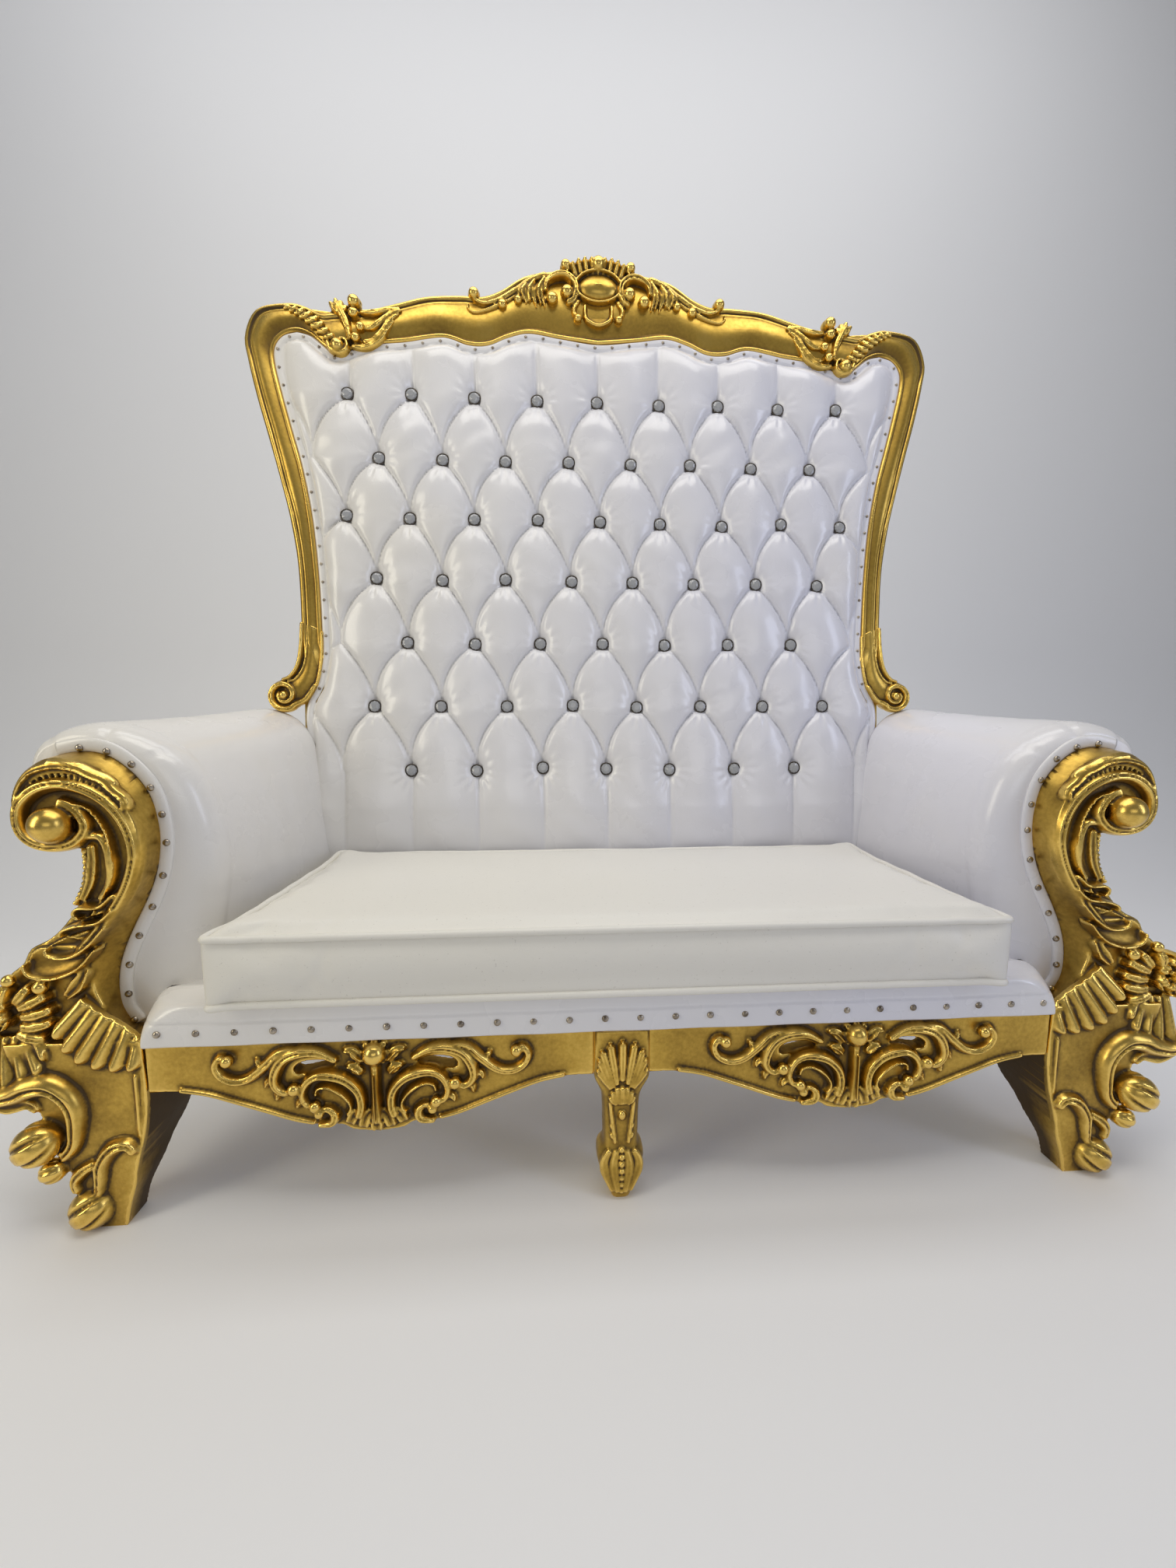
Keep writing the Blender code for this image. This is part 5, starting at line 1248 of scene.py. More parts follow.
def backed_panel(name, front, back):
    """A fine grid joined round its rim to a single flat face behind it, which has only the back grid's rim."""
    rows, columns = front.shape[:2]
    here = np.arange(rows * columns).reshape(rows, columns)
    ring = ring_of(here)
    there = rows * columns + np.arange(len(ring))
    faces = np.vstack([quads_of(here), walls_of(ring, there)]).tolist() + [there[::-1].tolist()]
    return grid_object(name, np.vstack([front.reshape(-1, 3), back.reshape(-1, 3)[ring]]), faces)


edge = rim_distance(patch)
out = puffed(patch[..., 0], patch[..., 1], edge)
front = np.stack(back_place(patch[..., 0], patch[..., 1], out), axis=-1)
back = np.stack(back_place(patch[..., 0], patch[..., 1], np.full(out.shape, -0.040)), axis=-1)
back_pad = backed_panel("tufted_back", front, back)
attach(back_pad, "root")
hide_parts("back_pad")
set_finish(back_pad, "white_leather")
print("tufted back:", len(back_pad.data.polygons), "faces, out %.3f to %.3f m" % (out.min(), out.max()))

# %% The cloth panel behind
cover_grid = patch[::6, ::6]
cover_edge = edge[::6, ::6]
hem = 0.0015 * np.exp(-((cover_edge - 0.012) / 0.003) ** 2)
slack = 0.0022 * np.sin(7 * cover_grid[..., 0] + 2) * np.sin(5 * cover_grid[..., 1]) * np.clip(cover_edge / 0.2, 0, 1)
behind = np.stack(back_place(cover_grid[..., 0], cover_grid[..., 1], -0.0535 - hem - slack), axis=-1)
within = np.stack(back_place(cover_grid[..., 0], cover_grid[..., 1], np.full(cover_edge.shape, -0.046)), axis=-1)
cover = closed_panel("rear_cloth_panel", within, behind)
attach(cover, "root")
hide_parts("back_cover")
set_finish(cover, "rear_cloth")
print("rear panel:", len(cover.data.polygons), "faces")

# %% [markdown]
# ## Buttons and nails
#
# A button is a cut crystal in a dark ring. A nail is a low dome with a slightly faceted face. Both are small
# closed forms turned about an axis, and all copies of one kind are laid out as a single array of points.

# %% Turned forms, copied to many places
def turned(profile, sides, twist=0.0):
    """Rings (r cos t, r sin t, h) for each radius and height of a profile, closed by flat ends."""
    radius, height = np.array(profile, float).T
    turn = np.linspace(0, 2 * pi, sides, endpoint=False)[None, :] + twist * (np.arange(len(radius)) % 2)[:, None]
    points = np.stack([radius[:, None] * np.cos(turn), radius[:, None] * np.sin(turn),
                       np.repeat(height[:, None], sides, axis=1)], axis=-1).reshape(-1, 3)
    here = np.arange(len(radius) * sides).reshape(len(radius), sides)
    beside = np.roll(here, -1, axis=1)
    quads = np.stack([here[:-1], beside[:-1], beside[1:], here[1:]], axis=-1).reshape(-1, 4)
    return points, quads, [here[0, ::-1], here[-1]]


def copies(name, form, places, out):
    """Every copy stands at its place with its own axis along out, and its first side is level."""
    points, quads, ends = form
    out = np.array(out) / np.linalg.norm(out)
    right = np.cross((0.0, 0.0, 1.0), out)
    right /= np.linalg.norm(right)
    up = np.cross(out, right)
    where = (places[:, None] + points[None, :, :1] * right + points[None, :, 1:2] * up
             + points[None, :, 2:] * out).reshape(-1, 3)
    shift = (np.arange(len(places)) * len(points))[:, None, None]
    faces = (quads[None] + shift).reshape(-1, 4).tolist()
    for end in ends:
        faces += (end[None] + shift[:, 0]).tolist()
    return grid_object(name, where, faces)


def flat_shading(piece):
    """Every face is shaded flat, as a cut stone's facets are."""
    piece.data.polygons.foreach_set("use_smooth", np.zeros(len(piece.data.polygons), bool))


button_place = np.column_stack(back_place(button_x, button_z, np.full(len(button_x), BUTTON_OUT)))
PLANE_OUT = (0.0, -1.0, BACK_RAKE)
crystal = turned([(0.0112, 0.0002), (0.0122, 0.0020), (0.0100, 0.0052), (0.0060, 0.0070)], 10, pi / 10)
foil = turned([(0.0118, -0.0060), (0.0122, -0.0004), (0.0070, -0.0022), (0.0016, -0.0038)], 10)
bezel = turned([(0.0120, -0.002), (0.0146, -0.001), (0.0150, 0.0014), (0.0140, 0.0028), (0.0124, 0.0024),
                (0.0120, 0.0006)], 18)
crystals = copies("button_crystals", crystal, button_place, PLANE_OUT)
flat_shading(crystals)
bezels = copies("button_rings", bezel, button_place, PLANE_OUT)
foils = copies("button_foils", foil, button_place, PLANE_OUT)
flat_shading(foils)
for piece in (crystals, foils, bezels):
    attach(piece, "root")
print("one crystal has", len(crystal[1]) + 2, "faces")

# %% Nail heads along the strips
NAIL = turned([(0.0058, -0.002), (0.0060, 0.0), (0.0054, 0.0018), (0.0038, 0.0034), (0.0016, 0.0042)], 10, 0.12)
SMALL_NAIL = turned([(0.0034, -0.001), (0.0035, 0.0), (0.0028, 0.0013), (0.0012, 0.0020)], 8, 0.15)
STRIP_PLANE = ARM_FACE + ARM_PLATE
STRIP_WIDTH = 0.019
ARM_NAILS = [(0.094, 0.786), (0.053, 0.780), (0.017, 0.759), (-0.009, 0.721), (-0.023, 0.677), (-0.026, 0.630),
             (-0.016, 0.575), (0.005, 0.522), (0.030, 0.473), (0.050, 0.423), (0.056, 0.372), (0.050, 0.326)]
FRONT_NAILS = 26
FRONT_NAIL_HEIGHT = 0.336
TACKS_ABOVE = 0.885


def arm_x(x):
    """A drawn distance from the front rail's end, as a real one from the middle."""
    return APRON_HALF_RUN + np.asarray(x) * ARM_HEIGHT / DRAWN_ARM


nails = [(side * arm_x(x), STRIP_PLANE - 0.0046, z) for side, word in SIDES for x, z in ARM_NAILS]
nails += [(x, DECK_FACE - 0.0005, FRONT_NAIL_HEIGHT) for x in np.linspace(-0.742, 0.742, FRONT_NAILS)]
nail_heads = copies("nail_heads", NAIL, np.array(nails), (0.0, -1.0, 0.0))
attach(nail_heads, "root")

trail = np.vstack([left[left[:, 1] > TACKS_ABOVE], top, right[::-1][right[::-1][:, 1] > TACKS_ABOVE]])
along = np.gradient(trail, axis=0)
along /= np.linalg.norm(along, axis=1)[:, None]
inward = np.column_stack([along[:, 1], -along[:, 0]])
trail = trail + inward * 0.009
run = np.concatenate([[0], np.cumsum(np.linalg.norm(np.diff(trail, axis=0), axis=1))])
wanted = np.arange(0.012, run[-1], 0.039)
tack_x, tack_z = np.interp(wanted, run, trail[:, 0]), np.interp(wanted, run, trail[:, 1])
tacks = np.column_stack(back_place(tack_x, tack_z, np.full(len(tack_x), 0.0035)))
tack_heads = copies("back_tacks", SMALL_NAIL, tacks, PLANE_OUT)
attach(tack_heads, "root")
print(len(nails), "nails and", len(tacks), "tacks")

# %% [markdown]
# ## The rolled arms
#
# An arm pad passes through three drawn sections: the one behind the carved front, the full roll, and the one
# at the back. It swells from the first to the second along a quarter of an ellipse, then runs straight back.

# %% The arm pads and their nailed strips
PAD_FRONT = [(0.003, 0.300), (0.036, 0.365), (0.036, 0.418), (0.022, 0.465), (-0.004, 0.517), (-0.022, 0.563),
             (-0.033, 0.612), (-0.035, 0.668), (-0.026, 0.714), (-0.004, 0.757), (0.025, 0.778), (0.053, 0.790),
             (0.090, 0.798), (0.133, 0.792), (0.163, 0.768), (0.174, 0.712), (0.160, 0.672), (0.130, 0.650),
             (0.092, 0.625), (0.090, 0.580), (0.113, 0.530), (0.128, 0.490), (0.128, 0.400), (0.128, 0.300)]
PAD_ROLL = [(0.000, 0.300), (0.000, 0.365), (-0.002, 0.418), (-0.005, 0.465), (-0.015, 0.517), (-0.022, 0.563),
            (-0.024, 0.612), (-0.018, 0.668), (-0.002, 0.722), (0.028, 0.770), (0.072, 0.803), (0.122, 0.822),
            (0.168, 0.826), (0.215, 0.814), (0.252, 0.782), (0.264, 0.720), (0.245, 0.672), (0.210, 0.645),
            (0.172, 0.620), (0.170, 0.580), (0.185, 0.530), (0.200, 0.490), (0.200, 0.400), (0.200, 0.300)]
PAD_BACK = [(0.000, 0.300), (0.000, 0.365), (0.000, 0.418), (0.000, 0.465), (0.002, 0.517), (0.006, 0.563),
            (0.010, 0.612), (0.014, 0.668), (0.020, 0.722), (0.036, 0.785), (0.070, 0.828), (0.118, 0.848),
            (0.166, 0.848), (0.210, 0.832), (0.240, 0.796), (0.250, 0.725), (0.235, 0.672), (0.200, 0.645),
            (0.178, 0.620), (0.176, 0.580), (0.184, 0.530), (0.194, 0.490), (0.194, 0.400), (0.194, 0.300)]
TUCKS = ((9.3, 0.55), (11.2, 0.8), (13.2, 0.8), (15.0, 0.6))
PAD_AROUND = 6


def arm_pad(side, word):
    """pad(t) = front + sin(a) (roll - front) at depth setback (1 - cos(a)), then roll + t (back - roll)."""
    front = dense_curve(PAD_FRONT, PAD_AROUND)
    roll = dense_curve(PAD_ROLL, PAD_AROUND)
    back = dense_curve(PAD_BACK, PAD_AROUND)
    scale = np.array([ARM_HEIGHT / DRAWN_ARM] * 2)
    near = STRIP_PLANE + GAP
    front = front * scale + (APRON_HALF_RUN, 0)
    roll = roll * scale + (PAD_INNER_FRONT, 0)
    back = back * scale + (PAD_INNER_BACK, 0)
    index = np.linspace(0, len(PAD_FRONT) - 1, len(front))
    rings = []
    for a in np.linspace(0, pi / 2, 26):
        line = front + np.sin(a) * (roll - front)
        y = np.full(len(line), near + PAD_ROLL_SETBACK * (1 - np.cos(a)))
        tuck = sum(depth * np.exp(-((index - at) / 0.11) ** 2) for at, depth in TUCKS)
        y = y + 0.0055 * tuck * np.sin(2 * a) ** 1.2
        line = line + (front - roll) * (0.05 * tuck * np.sin(2 * a))[:, None]
        rings.append(np.column_stack([side * line[:, 0], y, line[:, 1]]))
    roll_y = near + PAD_ROLL_SETBACK
    for t in np.linspace(0, 1, 74)[1:]:
        line = roll + t * (back - roll)
        y = roll_y + t * (back_y(line[:, 1]) - 0.003 - roll_y)
        sag = 0.0035 * np.sin(pi * t) * np.exp(-((index - 12.5) / 3.5) ** 2)
        ripple = 0.0011 * np.sin(26 * t + 0.9 * index) * np.sin(pi * t) * np.exp(-((index - 7) / 4) ** 2)
        rings.append(np.column_stack([side * (line[:, 0] + ripple), y, line[:, 1] - sag + ripple]))
    rings = np.array(rings)
    rings[..., 2] = np.maximum(rings[..., 2], ARM_PAD_BOTTOM)
    work = Carving()
    work.skin(rings)
    made = work.object(word + "_arm_roll", lambda x, y, z: (x, y, z))
    smooth_shading(made.data)
    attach(made, "root")
    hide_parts(word + "_arm_pad")
    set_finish(made, "white_leather")
    return made


def arm_strip(side, word):
    """A flat band beside the carved front, crowned a little, that the nails go through."""
    line = resample(INNER_EDGE[1:19], 160)
    along = np.gradient(line, axis=0)
    along /= np.linalg.norm(along, axis=1)[:, None]
    inward = np.column_stack([-along[:, 1], along[:, 0]])
    share = np.linspace(-0.15, 1.0, 9)
    place = line[:, None] + inward[:, None] * (STRIP_WIDTH * share)[None, :, None]
    crown = 0.0042 * np.sqrt(np.clip(1 - ((share - 0.42) / 0.60) ** 2, 0, 1))
    x = side * arm_x(place[..., 0])
    front = np.stack([x, STRIP_PLANE - 0.0006 - crown[None] + 0 * x, place[..., 1]], axis=-1)
    back = np.stack([x, STRIP_PLANE + 0.002 + 0 * x, place[..., 1]], axis=-1)
    made = closed_panel(word + "_nail_strip", front, back)
    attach(made, "root")
    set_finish(made, "white_leather")
    return made


for side, word in SIDES:
    pad = arm_pad(side, word)
for side, word in SIDES:
    strip = arm_strip(side, word)
print("arm pad:", len(pad.data.polygons), "faces, strip:", len(strip.data.polygons))

# %% [markdown]
# ## The seat
#
# The deck under the cushion is a low upholstered block with a soft front edge. The cushion is a real stuffed
# box: its skin is blown up a little by a cloth simulation, which pulls the sides in between the corners, and
# the piping is laid along its edges afterwards.

# %% The deck
def inset_ring(points, gap):
    """A closed outline moved inwards by a gap along its mitred corners."""
    edge_way = np.roll(points, -1, axis=0) - points
    edge_way /= np.linalg.norm(edge_way, axis=1)[:, None]
    after = np.column_stack([-edge_way[:, 1], edge_way[:, 0]])
    before = np.roll(after, 1, axis=0)
    miter = (before + after) / (1 + (before * after).sum(axis=1))[:, None]
    following = np.roll(points, -1, axis=0)
    area = (points[:, 0] * following[:, 1] - following[:, 0] * points[:, 1]).sum()
    return points + np.sign(area) * gap * miter


def deck_plan(height_share):
    """The deck's outline: square at its foot, with front corners that are rounded off more towards the top."""
    wide, strip_back = APRON_HALF_RUN - GAP, STRIP_PLANE - GAP
    turn = np.linspace(0, pi / 2, 14)
    cut = 0.004 + (DECK_CUT - 0.004) * height_share**2
    round_x, round_y = cut, min(cut, 0.95 * (strip_back - DECK_FACE))
    corner = np.column_stack([wide - round_x * (1 - np.sin(turn)), DECK_FACE + round_y * (1 - np.cos(turn))])
    back = [(wide, strip_back), (PAD_INNER_FRONT - 0.003, strip_back + PAD_ROLL_SETBACK),
            (PAD_INNER_BACK - 0.003, back_y(APRON_TOP) - 0.003)]
    runs = [np.column_stack([np.linspace(0, corner[0, 0], 60, endpoint=False), np.full(60, DECK_FACE)]), corner[:-1]]
    ends = [corner[-1]] + back + [(0.0, back[-1][1])]
    runs += [np.linspace(a, b, 30, endpoint=False) for a, b in zip(ends[:-1], ends[1:])]
    half = np.vstack(runs + [ends[-1:]])
    return np.vstack([half, (half * (-1, 1))[-2:0:-1]])


DECK_CUT = 0.085
DECK_RINGS = 27


def deck():
    """Rings of the deck's outline from its foot to its top, drawn in at both rounded edges, with a seam on the
    front."""
    low, high = APRON_TOP + GAP, CUSHION_BOTTOM - GAP
    rings = []
    for t in np.linspace(-1, 1, DECK_RINGS):
        z = (low + high) / 2 + (high - low) / 2 * t
        plan = deck_plan((t + 1) / 2)
        soft = 0.010 if t > 0 else 0.003
        beyond = np.clip((abs(z - (low + high) / 2) - (high - low) / 2 + soft) / soft, 0, 1)
        ring = inset_ring(plan, soft * (1 - np.sqrt(1 - beyond**2)) + 0.0015)
        facing = np.clip((STRIP_PLANE - 0.02 - plan[:, 1]) / 0.03, 0, 1)
        ring[:, 1] -= facing * (0.0025 * np.cos(pi * t / 2) + 0.0008 * np.sin(37 * plan[:, 0]))
        ring[:, 1] += facing * 0.0018 * np.exp(-((z - 0.352) / 0.0015) ** 2)
        rings.append(np.column_stack([ring, np.full(len(ring), z)]))
    work = Carving()
    work.skin(np.array(rings))
    made = work.object("seat_deck_cover", lambda x, y, z: (x, y, z))
    smooth_shading(made.data)
    return made


seat_deck = deck()
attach(seat_deck, "root")
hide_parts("seat_deck")
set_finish(seat_deck, "white_leather")
print("deck:", len(seat_deck.data.polygons), "faces")

# %% The cushion's box, blown up by a cloth simulation
CUSHION_FRONT_HALF = 0.661
CUSHION_BACK_HALF = 0.583
CUSHION_FRONT_TOP = CUSHION_BOTTOM + 0.123
CUSHION_BACK_TOP = CUSHION_BOTTOM + 0.165
CUSHION_INSET = 0.005
CUSHION_CAP = 0.013
CUSHION_VOXEL = 0.0060


def cushion_half(y):
    """Half the cushion's width, which gets less towards the back."""
    share = (y - FRONT) / (cushion_high[1] - FRONT)
    return CUSHION_FRONT_HALF + share * (CUSHION_BACK_HALF - CUSHION_FRONT_HALF)


def cushion_top(y):
    """The height of the cushion's top, which rises towards the back."""
    share = (y - FRONT) / (cushion_high[1] - FRONT)
    return CUSHION_FRONT_TOP + share * (CUSHION_BACK_TOP - CUSHION_FRONT_TOP)


def cushion_box():
    """A block whose sides taper to the back and whose top rises to the back."""
    depth = np.linspace(FRONT + CUSHION_INSET, cushion_high[1] - CUSHION_INSET, 40)
    rings = []
    for y in depth:
        half, top_at = cushion_half(y) - CUSHION_INSET, cushion_top(y) - CUSHION_INSET
        low = CUSHION_BOTTOM + 0.002
        rings.append([(-half, y, low), (half, y, low), (half, y, top_at), (-half, y, top_at)])
    work = Carving()
    work.skin(np.array(rings))
    return work.object("cushion", lambda x, y, z: (x, y, z))


def blown(piece, voxel, cap, frames=20):
    """Remeshed evenly, blown up as cloth, and no point moved farther than the cap."""
    remesh = piece.modifiers.new("even", "REMESH")
    remesh.mode = "VOXEL"
    remesh.voxel_size = voxel
    data = with_modifiers(piece)
    start, _, _ = read_mesh(data)
    cloth = piece.modifiers.new("blow", "CLOTH")
    cloth.settings.use_pressure = True
    cloth.settings.uniform_pressure_force = 4.0
    cloth.settings.effector_weights.gravity = 0.0
    cloth.settings.quality = 5
    cloth.point_cache.frame_start = 1
    cloth.point_cache.frame_end = frames
    scene = bpy.context.scene
    for step in range(1, frames + 1):
        scene.frame_set(step)
    data = with_modifiers(piece)
    scene.frame_set(1)
    points, _, edges = read_mesh(data)
    moved = points - start
    far = np.linalg.norm(moved, axis=1)
    points = start + moved * (np.minimum(far, cap) / np.maximum(far, 1e-9))[:, None]
    print("%s: %d points, moved up to %.0f mm, capped at %.0f mm"
          % (piece.name, len(points), 1000 * far.max(), 1000 * cap))
    return data, points, edges


cushion = cushion_box()
data, points, edges = blown(cushion, CUSHION_VOXEL, CUSHION_CAP)
points = relaxed(points, edges, 3)
x, y, z = points.T
z = np.maximum(z, CUSHION_BOTTOM + 0.0002)
y = np.clip(y, FRONT - 0.006, back_y(z) - 0.004)
wrinkle = np.sin(19 * x + 6 * y + 3 * np.sin(13 * y)) * np.sin(11 * y - 4 * x + 2 * np.sin(7 * x))
z = z + np.where(z > cushion_top(y) - 0.02, 0.0011 * wrinkle, 0)
data.vertices.foreach_set("co", np.column_stack([x, y, z]).ravel())
data.update()
smooth_shading(data)
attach(cushion, "root")
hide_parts("seat_cushion")
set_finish(cushion, "cushion_leather")
print("cushion:", len(data.polygons), "faces")

# %% Piping along the cushion's edges
PIPING = 0.0060


def cushion_rim(inward, top_edge, count=520):
    """The cushion's outline at its top or bottom edge, with rounded corners."""
    back_edge = cushion_high[1] - 0.004
    corner = 0.024
    corners = np.array([(-CUSHION_FRONT_HALF, FRONT), (CUSHION_FRONT_HALF, FRONT), (CUSHION_BACK_HALF, back_edge),
                        (-CUSHION_BACK_HALF, back_edge)], float)
    ring = []
    for index in range(4):
        here, after, before = corners[index], corners[(index + 1) % 4], corners[index - 1]
        to, frm = (after - here) / np.linalg.norm(after - here), (before - here) / np.linalg.norm(before - here)
        for t in np.linspace(0, 1, 9):
            ring.append(here + corner * (frm * (1 - t) ** 2 + to * t**2))
    ring = inset_ring(np.array(ring), inward)
    closed = np.vstack([ring, ring[:1]])
    run = np.concatenate([[0], np.cumsum(np.linalg.norm(np.diff(closed, axis=0), axis=1))])
    wanted = np.linspace(0, run[-1], count, endpoint=False)
    x, y = np.interp(wanted, run, closed[:, 0]), np.interp(wanted, run, closed[:, 1])
    z = cushion_top(y) - inward if top_edge else np.full(count, CUSHION_BOTTOM + inward)
    return np.column_stack([x, y, z])


def tube(name, line, radius, sides=12):
    """A closed tube round a closed line: ring(t) = line + r cos(t) side + r sin(t) up."""
    along = np.roll(line, -1, axis=0) - np.roll(line, 1, axis=0)
    along /= np.linalg.norm(along, axis=1)[:, None]
    sideways = np.cross(along, (0, 0, 1))
    sideways /= np.linalg.norm(sideways, axis=1)[:, None]
    up = np.cross(sideways, along)
    turn = np.linspace(0, 2 * pi, sides, endpoint=False)[None, :, None]
    rings = line[:, None] + radius * (np.cos(turn) * sideways[:, None] + np.sin(turn) * up[:, None])
    count = len(line)
    here = np.arange(count * sides).reshape(count, sides)
    beside = np.roll(here, -1, axis=1)
    quads = np.stack([here, beside, np.roll(beside, -1, axis=0), np.roll(here, -1, axis=0)], axis=-1).reshape(-1, 4)
    return grid_object(name, rings.reshape(-1, 3), quads[:, ::-1].tolist())


snap = BVHTree.FromObject(cushion, bpy.context.evaluated_depsgraph_get())


def on_cushion(line, out):
    """Each point moved to the nearest place on the cushion, then a little outwards."""
    found = [snap.find_nearest(Vector(point)) for point in line.tolist()]
    return np.array([place + normal * out for place, normal, _, _ in found])


for word, is_top in (("top", True), ("bottom", False)):
    line = on_cushion(cushion_rim(0.001, is_top), 0.0030)
    for _ in range(6):
        line = (np.roll(line, 1, axis=0) + line + np.roll(line, -1, axis=0)) / 3
    line[:, 2] = np.maximum(line[:, 2], CUSHION_BOTTOM + PIPING)
    line[:, 1] = np.clip(line[:, 1], FRONT - 0.006, back_y(line[:, 2]) - 0.003 - PIPING)
    piping = tube(word + "_piping", line, PIPING)
    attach(piping, "root")
    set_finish(piping, "cushion_leather")
print("piping %.1f mm thick" % (2000 * PIPING))

# %% [markdown]
# ## Finishes
#
# The gilding is a metal coat whose colour, shine and relief follow the hollows. The leather has a fine grain and
# a painted lamp tint, warm on the left and cool on the right, and the cushion's leather is duller, with light dust on
# it.

# %% Shader helpers
def new_material(name):
    """A new material, with its nodes, links and main shader."""
    made = bpy.data.materials.new(name)
    made.use_nodes = True
    nodes = made.node_tree.nodes
    return made, nodes, made.node_tree.links, nodes["Principled BSDF"]


def noise(nodes, links, place, scale, detail=4.0, roughness=0.55):
    """Soft noise at a place, from 0 to 1."""
    made = nodes.new("ShaderNodeTexNoise")
    made.inputs["Scale"].default_value = scale
    made.inputs["Detail"].default_value = detail
    made.inputs["Roughness"].default_value = roughness
    links.new(place, made.inputs["Vector"])
    return made.outputs["Fac"]


def calc(nodes, links, operation, *inputs, clamp=False):
    """One sum of values and sockets."""
    made = nodes.new("ShaderNodeMath")
    made.operation = operation
    made.use_clamp = clamp
    for index, value in enumerate(inputs):
        if isinstance(value, (int, float)):
            made.inputs[index].default_value = value
        else:
            links.new(value, made.inputs[index])
    return made.outputs["Value"]


def ramp(nodes, links, value, stops):
    """A colour for each value, blended between the stops."""
    made = nodes.new("ShaderNodeValToRGB")
    elements = made.color_ramp.elements
    while len(elements) < len(stops):
        elements.new(0.5)
    for element, (at, colour) in zip(elements, stops):
        element.position = at
        element.color = (*colour, 1.0)
    links.new(value, made.inputs["Fac"])
    return made.outputs["Color"]


def bump(nodes, links, height, strength, distance, normal=None):
    """Relief from a height, laid over another relief if there is one."""
    made = nodes.new("ShaderNodeBump")
    made.inputs["Strength"].default_value = strength
    made.inputs["Distance"].default_value = distance
    links.new(height, made.inputs["Height"])
    if normal is not None:
        links.new(normal, made.inputs["Normal"])
    return made.outputs["Normal"]


def spread(nodes, links, value, low, high, to_low, to_high):
    """The value's range from low to high, mapped onto the range from to_low to to_high."""
    made = nodes.new("ShaderNodeMapRange")
    links.new(value, made.inputs["Value"])
    for key, number in zip(("From Min", "From Max", "To Min", "To Max"), (low, high, to_low, to_high)):
        made.inputs[key].default_value = number
    return made.outputs["Result"]


def plain_values(shader, values):
    """Sets the shader's inputs that no node drives."""
    for key, value in values.items():
        shader.inputs[key].default_value = value


print("shader helpers ready")

# %% Gilding with brown wax in its hollows
def gilding(name, has_hollows=True):
    """Bright on ridges and brown, duller and less metallic as the wax gets thicker: wax = hollow + patches + grain."""
    made, nodes, links, shader = new_material(name)
    place = nodes.new("ShaderNodeTexCoord").outputs["Object"]
    if has_hollows:
        attribute = nodes.new("ShaderNodeAttribute")
        attribute.attribute_name = "hollow"
        hollow = attribute.outputs["Fac"]
    else:
        hollow = noise(nodes, links, place, 3.0)
    patches = noise(nodes, links, place, 9.0, 5.0)
    fine = noise(nodes, links, place, 140.0, 3.0)
    uneven = calc(nodes, links, "MULTIPLY_ADD", patches, 0.34, -0.17)
    grain = calc(nodes, links, "MULTIPLY_ADD", fine, 0.16, -0.08)
    wax = calc(nodes, links, "ADD", calc(nodes, links, "ADD", hollow, uneven), grain, clamp=True)
    colour = ramp(nodes, links, wax, [(0.28, (0.90, 0.62, 0.16)), (0.47, (0.56, 0.36, 0.072)),
                                      (0.61, (0.27, 0.165, 0.034)), (0.80, (0.075, 0.044, 0.014))])
    links.new(colour, shader.inputs["Base Color"])
    links.new(spread(nodes, links, wax, 0.3, 0.85, 0.24, 0.55), shader.inputs["Roughness"])
    links.new(spread(nodes, links, wax, 0.55, 0.9, 1.0, 0.45), shader.inputs["Metallic"])
    rough = bump(nodes, links, noise(nodes, links, place, 60.0, 6.0), 0.25, 0.0012)
    links.new(bump(nodes, links, fine, 0.20, 0.0006, rough), shader.inputs["Normal"])
    return made


gold = gilding("gilding")
plain_gold = gilding("plain_gilding", has_hollows=False)
print("gilding made")

# %% Leather, cloth, nails and crystal
def leather(name, stops, roughness, grain, coat, specks=False):
    """Colour runs along the seat from one side to the other as painted light: a painted warm lamp tint on the left
    and a painted cool lamp tint on the right, with random patches of tone and a fine pebbled grain.
    """
    made, nodes, links, shader = new_material(name)
    place = nodes.new("ShaderNodeTexCoord").outputs["Object"]
    split = nodes.new("ShaderNodeSeparateXYZ")
    links.new(place, split.inputs["Vector"])
    patches = noise(nodes, links, place, 2.2, 3.0)
    # Painted light: the colour runs with x from a painted warm lamp tint on the left to a painted cool lamp tint on the
    # right, plus random patches of tone.
    across = calc(nodes, links, "MULTIPLY_ADD", split.outputs["X"], 0.45, 0.5)
    lamp_tint_and_tone = calc(nodes, links, "ADD", across, calc(nodes, links, "MULTIPLY_ADD", patches, 0.5, -0.25), clamp=True)
    colour = ramp(nodes, links, lamp_tint_and_tone, stops)
    cells = nodes.new("ShaderNodeTexVoronoi")
    cells.inputs["Scale"].default_value = 420.0
    links.new(place, cells.inputs["Vector"])
    pebble = bump(nodes, links, cells.outputs["Distance"], grain, 0.0006)
    soft = bump(nodes, links, noise(nodes, links, place, 45.0, 4.0), 0.12, 0.0016, pebble)
    links.new(soft, shader.inputs["Normal"])
    if specks:
        dots = calc(nodes, links, "GREATER_THAN", noise(nodes, links, place, 260.0, 1.0), 0.735)
        blend = nodes.new("ShaderNodeMixRGB")
        blend.inputs["Color2"].default_value = (0.45, 0.42, 0.38, 1.0)
        links.new(calc(nodes, links, "MULTIPLY", dots, 0.35), blend.inputs["Fac"])
        links.new(colour, blend.inputs["Color1"])
        colour = blend.outputs["Color"]
    links.new(colour, shader.inputs["Base Color"])
    worn = noise(nodes, links, place, 7.0, 4.0)
    links.new(spread(nodes, links, worn, 0.3, 0.7, roughness - 0.05, roughness + 0.07), shader.inputs["Roughness"])
    plain_values(shader, {"Coat Weight": coat, "Coat Roughness": 0.12})
    return made
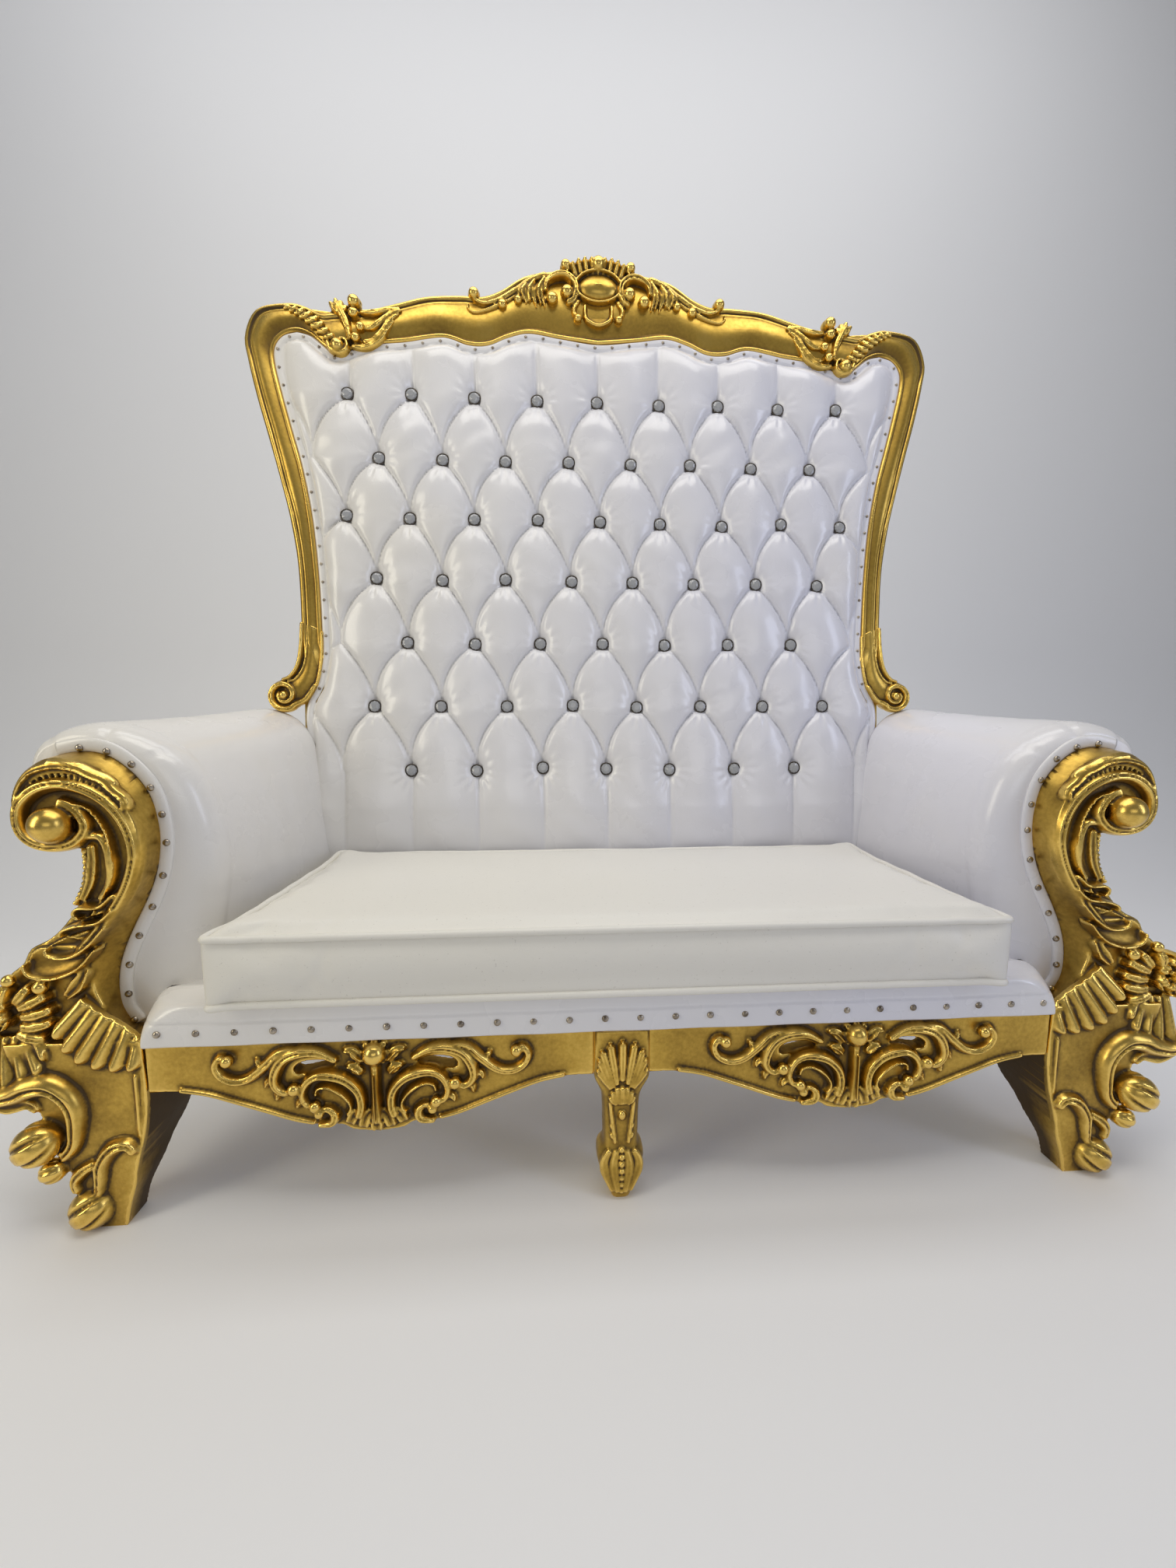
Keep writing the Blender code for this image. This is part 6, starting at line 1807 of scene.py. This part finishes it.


# Painted light in the stops: a painted warm lamp tint at the left end of both leathers, and a painted cool lavender
# lamp tint towards the right on the white leather.
white_leather = leather("white_leather", [(0.0, (0.80, 0.76, 0.66)), (0.35, (0.80, 0.79, 0.80)),
                                          (0.75, (0.74, 0.74, 0.82)), (1.0, (0.78, 0.76, 0.74))], 0.26, 0.14, 0.35)
cushion_leather = leather("cushion_leather", [(0.0, (0.78, 0.75, 0.66)), (0.5, (0.78, 0.76, 0.71)),
                                              (1.0, (0.76, 0.74, 0.71))], 0.42, 0.22, 0.05, specks=True)

rear_cloth, nodes, links, shader = new_material("rear_cloth")
place = nodes.new("ShaderNodeTexCoord").outputs["Object"]
weave = nodes.new("ShaderNodeTexVoronoi")
weave.inputs["Scale"].default_value = 700.0
links.new(place, weave.inputs["Vector"])
links.new(bump(nodes, links, weave.outputs["Distance"], 0.4, 0.0005), shader.inputs["Normal"])
plain_values(shader, {"Base Color": (0.62, 0.60, 0.58, 1.0), "Roughness": 0.85})

antique, nodes, links, shader = new_material("antique_nails")
place = nodes.new("ShaderNodeTexCoord").outputs["Object"]
tarnish = noise(nodes, links, place, 90.0, 4.0)
brown = ramp(nodes, links, tarnish, [(0.35, (0.50, 0.44, 0.36)), (0.65, (0.16, 0.13, 0.10))])
links.new(brown, shader.inputs["Base Color"])
plain_values(shader, {"Metallic": 1.0, "Roughness": 0.30})

crystal_look, nodes, links, shader = new_material("cut_crystal")
plain_values(shader, {"Base Color": (0.86, 0.88, 0.92, 1.0), "Roughness": 0.03, "IOR": 1.6,
                      "Transmission Weight": 0.6})

foil_look, nodes, links, shader = new_material("crystal_foil")
place = nodes.new("ShaderNodeTexCoord").outputs["Object"]
clouds = noise(nodes, links, place, 160.0, 2.0)
silver = ramp(nodes, links, clouds, [(0.35, (0.97, 0.97, 0.98)), (0.65, (0.80, 0.80, 0.84))])
links.new(silver, shader.inputs["Base Color"])
plain_values(shader, {"Metallic": 1.0, "Roughness": 0.34})

ring_look, nodes, links, shader = new_material("dark_ring")
plain_values(shader, {"Base Color": (0.10, 0.085, 0.07, 1.0), "Metallic": 0.9, "Roughness": 0.35})

BY_SLOT = {"gold": gold, "plain_gold": plain_gold, "white_leather": white_leather, "cushion_leather": cushion_leather,
           "rear_cloth": rear_cloth}


def paint(piece, material):
    """The piece gets this material alone."""
    piece.data.materials.clear()
    piece.data.materials.append(material)


KEPT_NODES = ("rear_rail", "left_rear_leg", "right_rear_leg", "left_side_rail", "right_side_rail")
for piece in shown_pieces():
    if piece.name in KEPT_NODES:
        paint(piece, plain_gold)
    elif piece.name not in frame["nodes"] and piece.get("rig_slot") in BY_SLOT:
        paint(piece, BY_SLOT[piece["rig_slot"]])
for piece, look in ((crystals, crystal_look), (foils, foil_look), (bezels, ring_look), (nail_heads, antique),
                    (tack_heads, antique)):
    paint(piece, look)

# %% [markdown]
# ## Floor and light
#
# The throne stands on a pale floor that curves up into a pale wall. Wide soft lights make long smooth
# reflections on the leather, and the darker surroundings give the gilding its contrast.

# %% The stage
FLOOR_HALF = 9.0
WALL_AT = 2.4
WALL_BEND = 1.2
WALL_TOP = 7.0
bend = np.linspace(0, pi / 2, 24)
sweep_y = np.concatenate([[-7.0], WALL_AT - WALL_BEND + WALL_BEND * np.sin(bend), [WALL_AT]])
sweep_z = np.concatenate([[0.0], WALL_BEND * (1 - np.cos(bend)), [WALL_TOP]])
sweep = np.stack([np.column_stack([np.full(len(sweep_y), x), sweep_y, sweep_z]) for x in (-FLOOR_HALF, FLOOR_HALF)])
across = np.arange(len(sweep_y) - 1)
faces = np.column_stack([across, across + len(sweep_y), across + len(sweep_y) + 1, across + 1])
floor = grid_object("floor", sweep.reshape(-1, 3), faces.tolist())
floor_look, nodes, links, shader = new_material("pale_floor")
plain_values(shader, {"Base Color": (0.86, 0.86, 0.87, 1.0), "Roughness": 0.55})
paint(floor, floor_look)

# %% The lights
def soft_light(name, place, target, size, watts, colour=(1.0, 1.0, 1.0)):
    """A square soft box at a place, turned to face a target."""
    data = bpy.data.lights.new(name, "AREA")
    data.shape = "RECTANGLE"
    data.size, data.size_y = size
    data.energy = watts
    data.color = colour
    made = bpy.data.objects.new(name, data)
    made.location = place
    made.rotation_euler = (Vector(target) - Vector(place)).to_track_quat("-Z", "Y").to_euler()
    bpy.context.scene.collection.objects.link(made)
    return made


soft_light("overhead", (0.0, -0.9, 3.6), (0.0, 0.0, 0.6), (3.0, 1.2), 38.0, (1.0, 0.97, 0.90))
soft_light("left_window", (-3.2, -1.9, 1.9), (0.0, 0.0, 0.9), (1.0, 2.4), 34.0, (1.0, 0.94, 0.76))
soft_light("right_window", (3.2, -2.1, 1.8), (0.0, 0.0, 0.9), (0.8, 2.2), 22.0, (0.72, 0.78, 1.0))
soft_light("front_fill", (0.3, -4.2, 1.6), (0.0, 0.0, 0.8), (2.6, 1.2), 10.0)
soft_light("wall_wash", (0.0, 0.6, 5.2), (0.0, 2.4, 1.0), (6.0, 1.2), 60.0)
world = bpy.data.worlds.new("surroundings")
world.use_nodes = True
world.node_tree.nodes["Background"].inputs["Color"].default_value = (0.78, 0.80, 0.86, 1.0)
world.node_tree.nodes["Background"].inputs["Strength"].default_value = 0.22
bpy.context.scene.world = world
bpy.context.scene.view_settings.view_transform = "Standard"
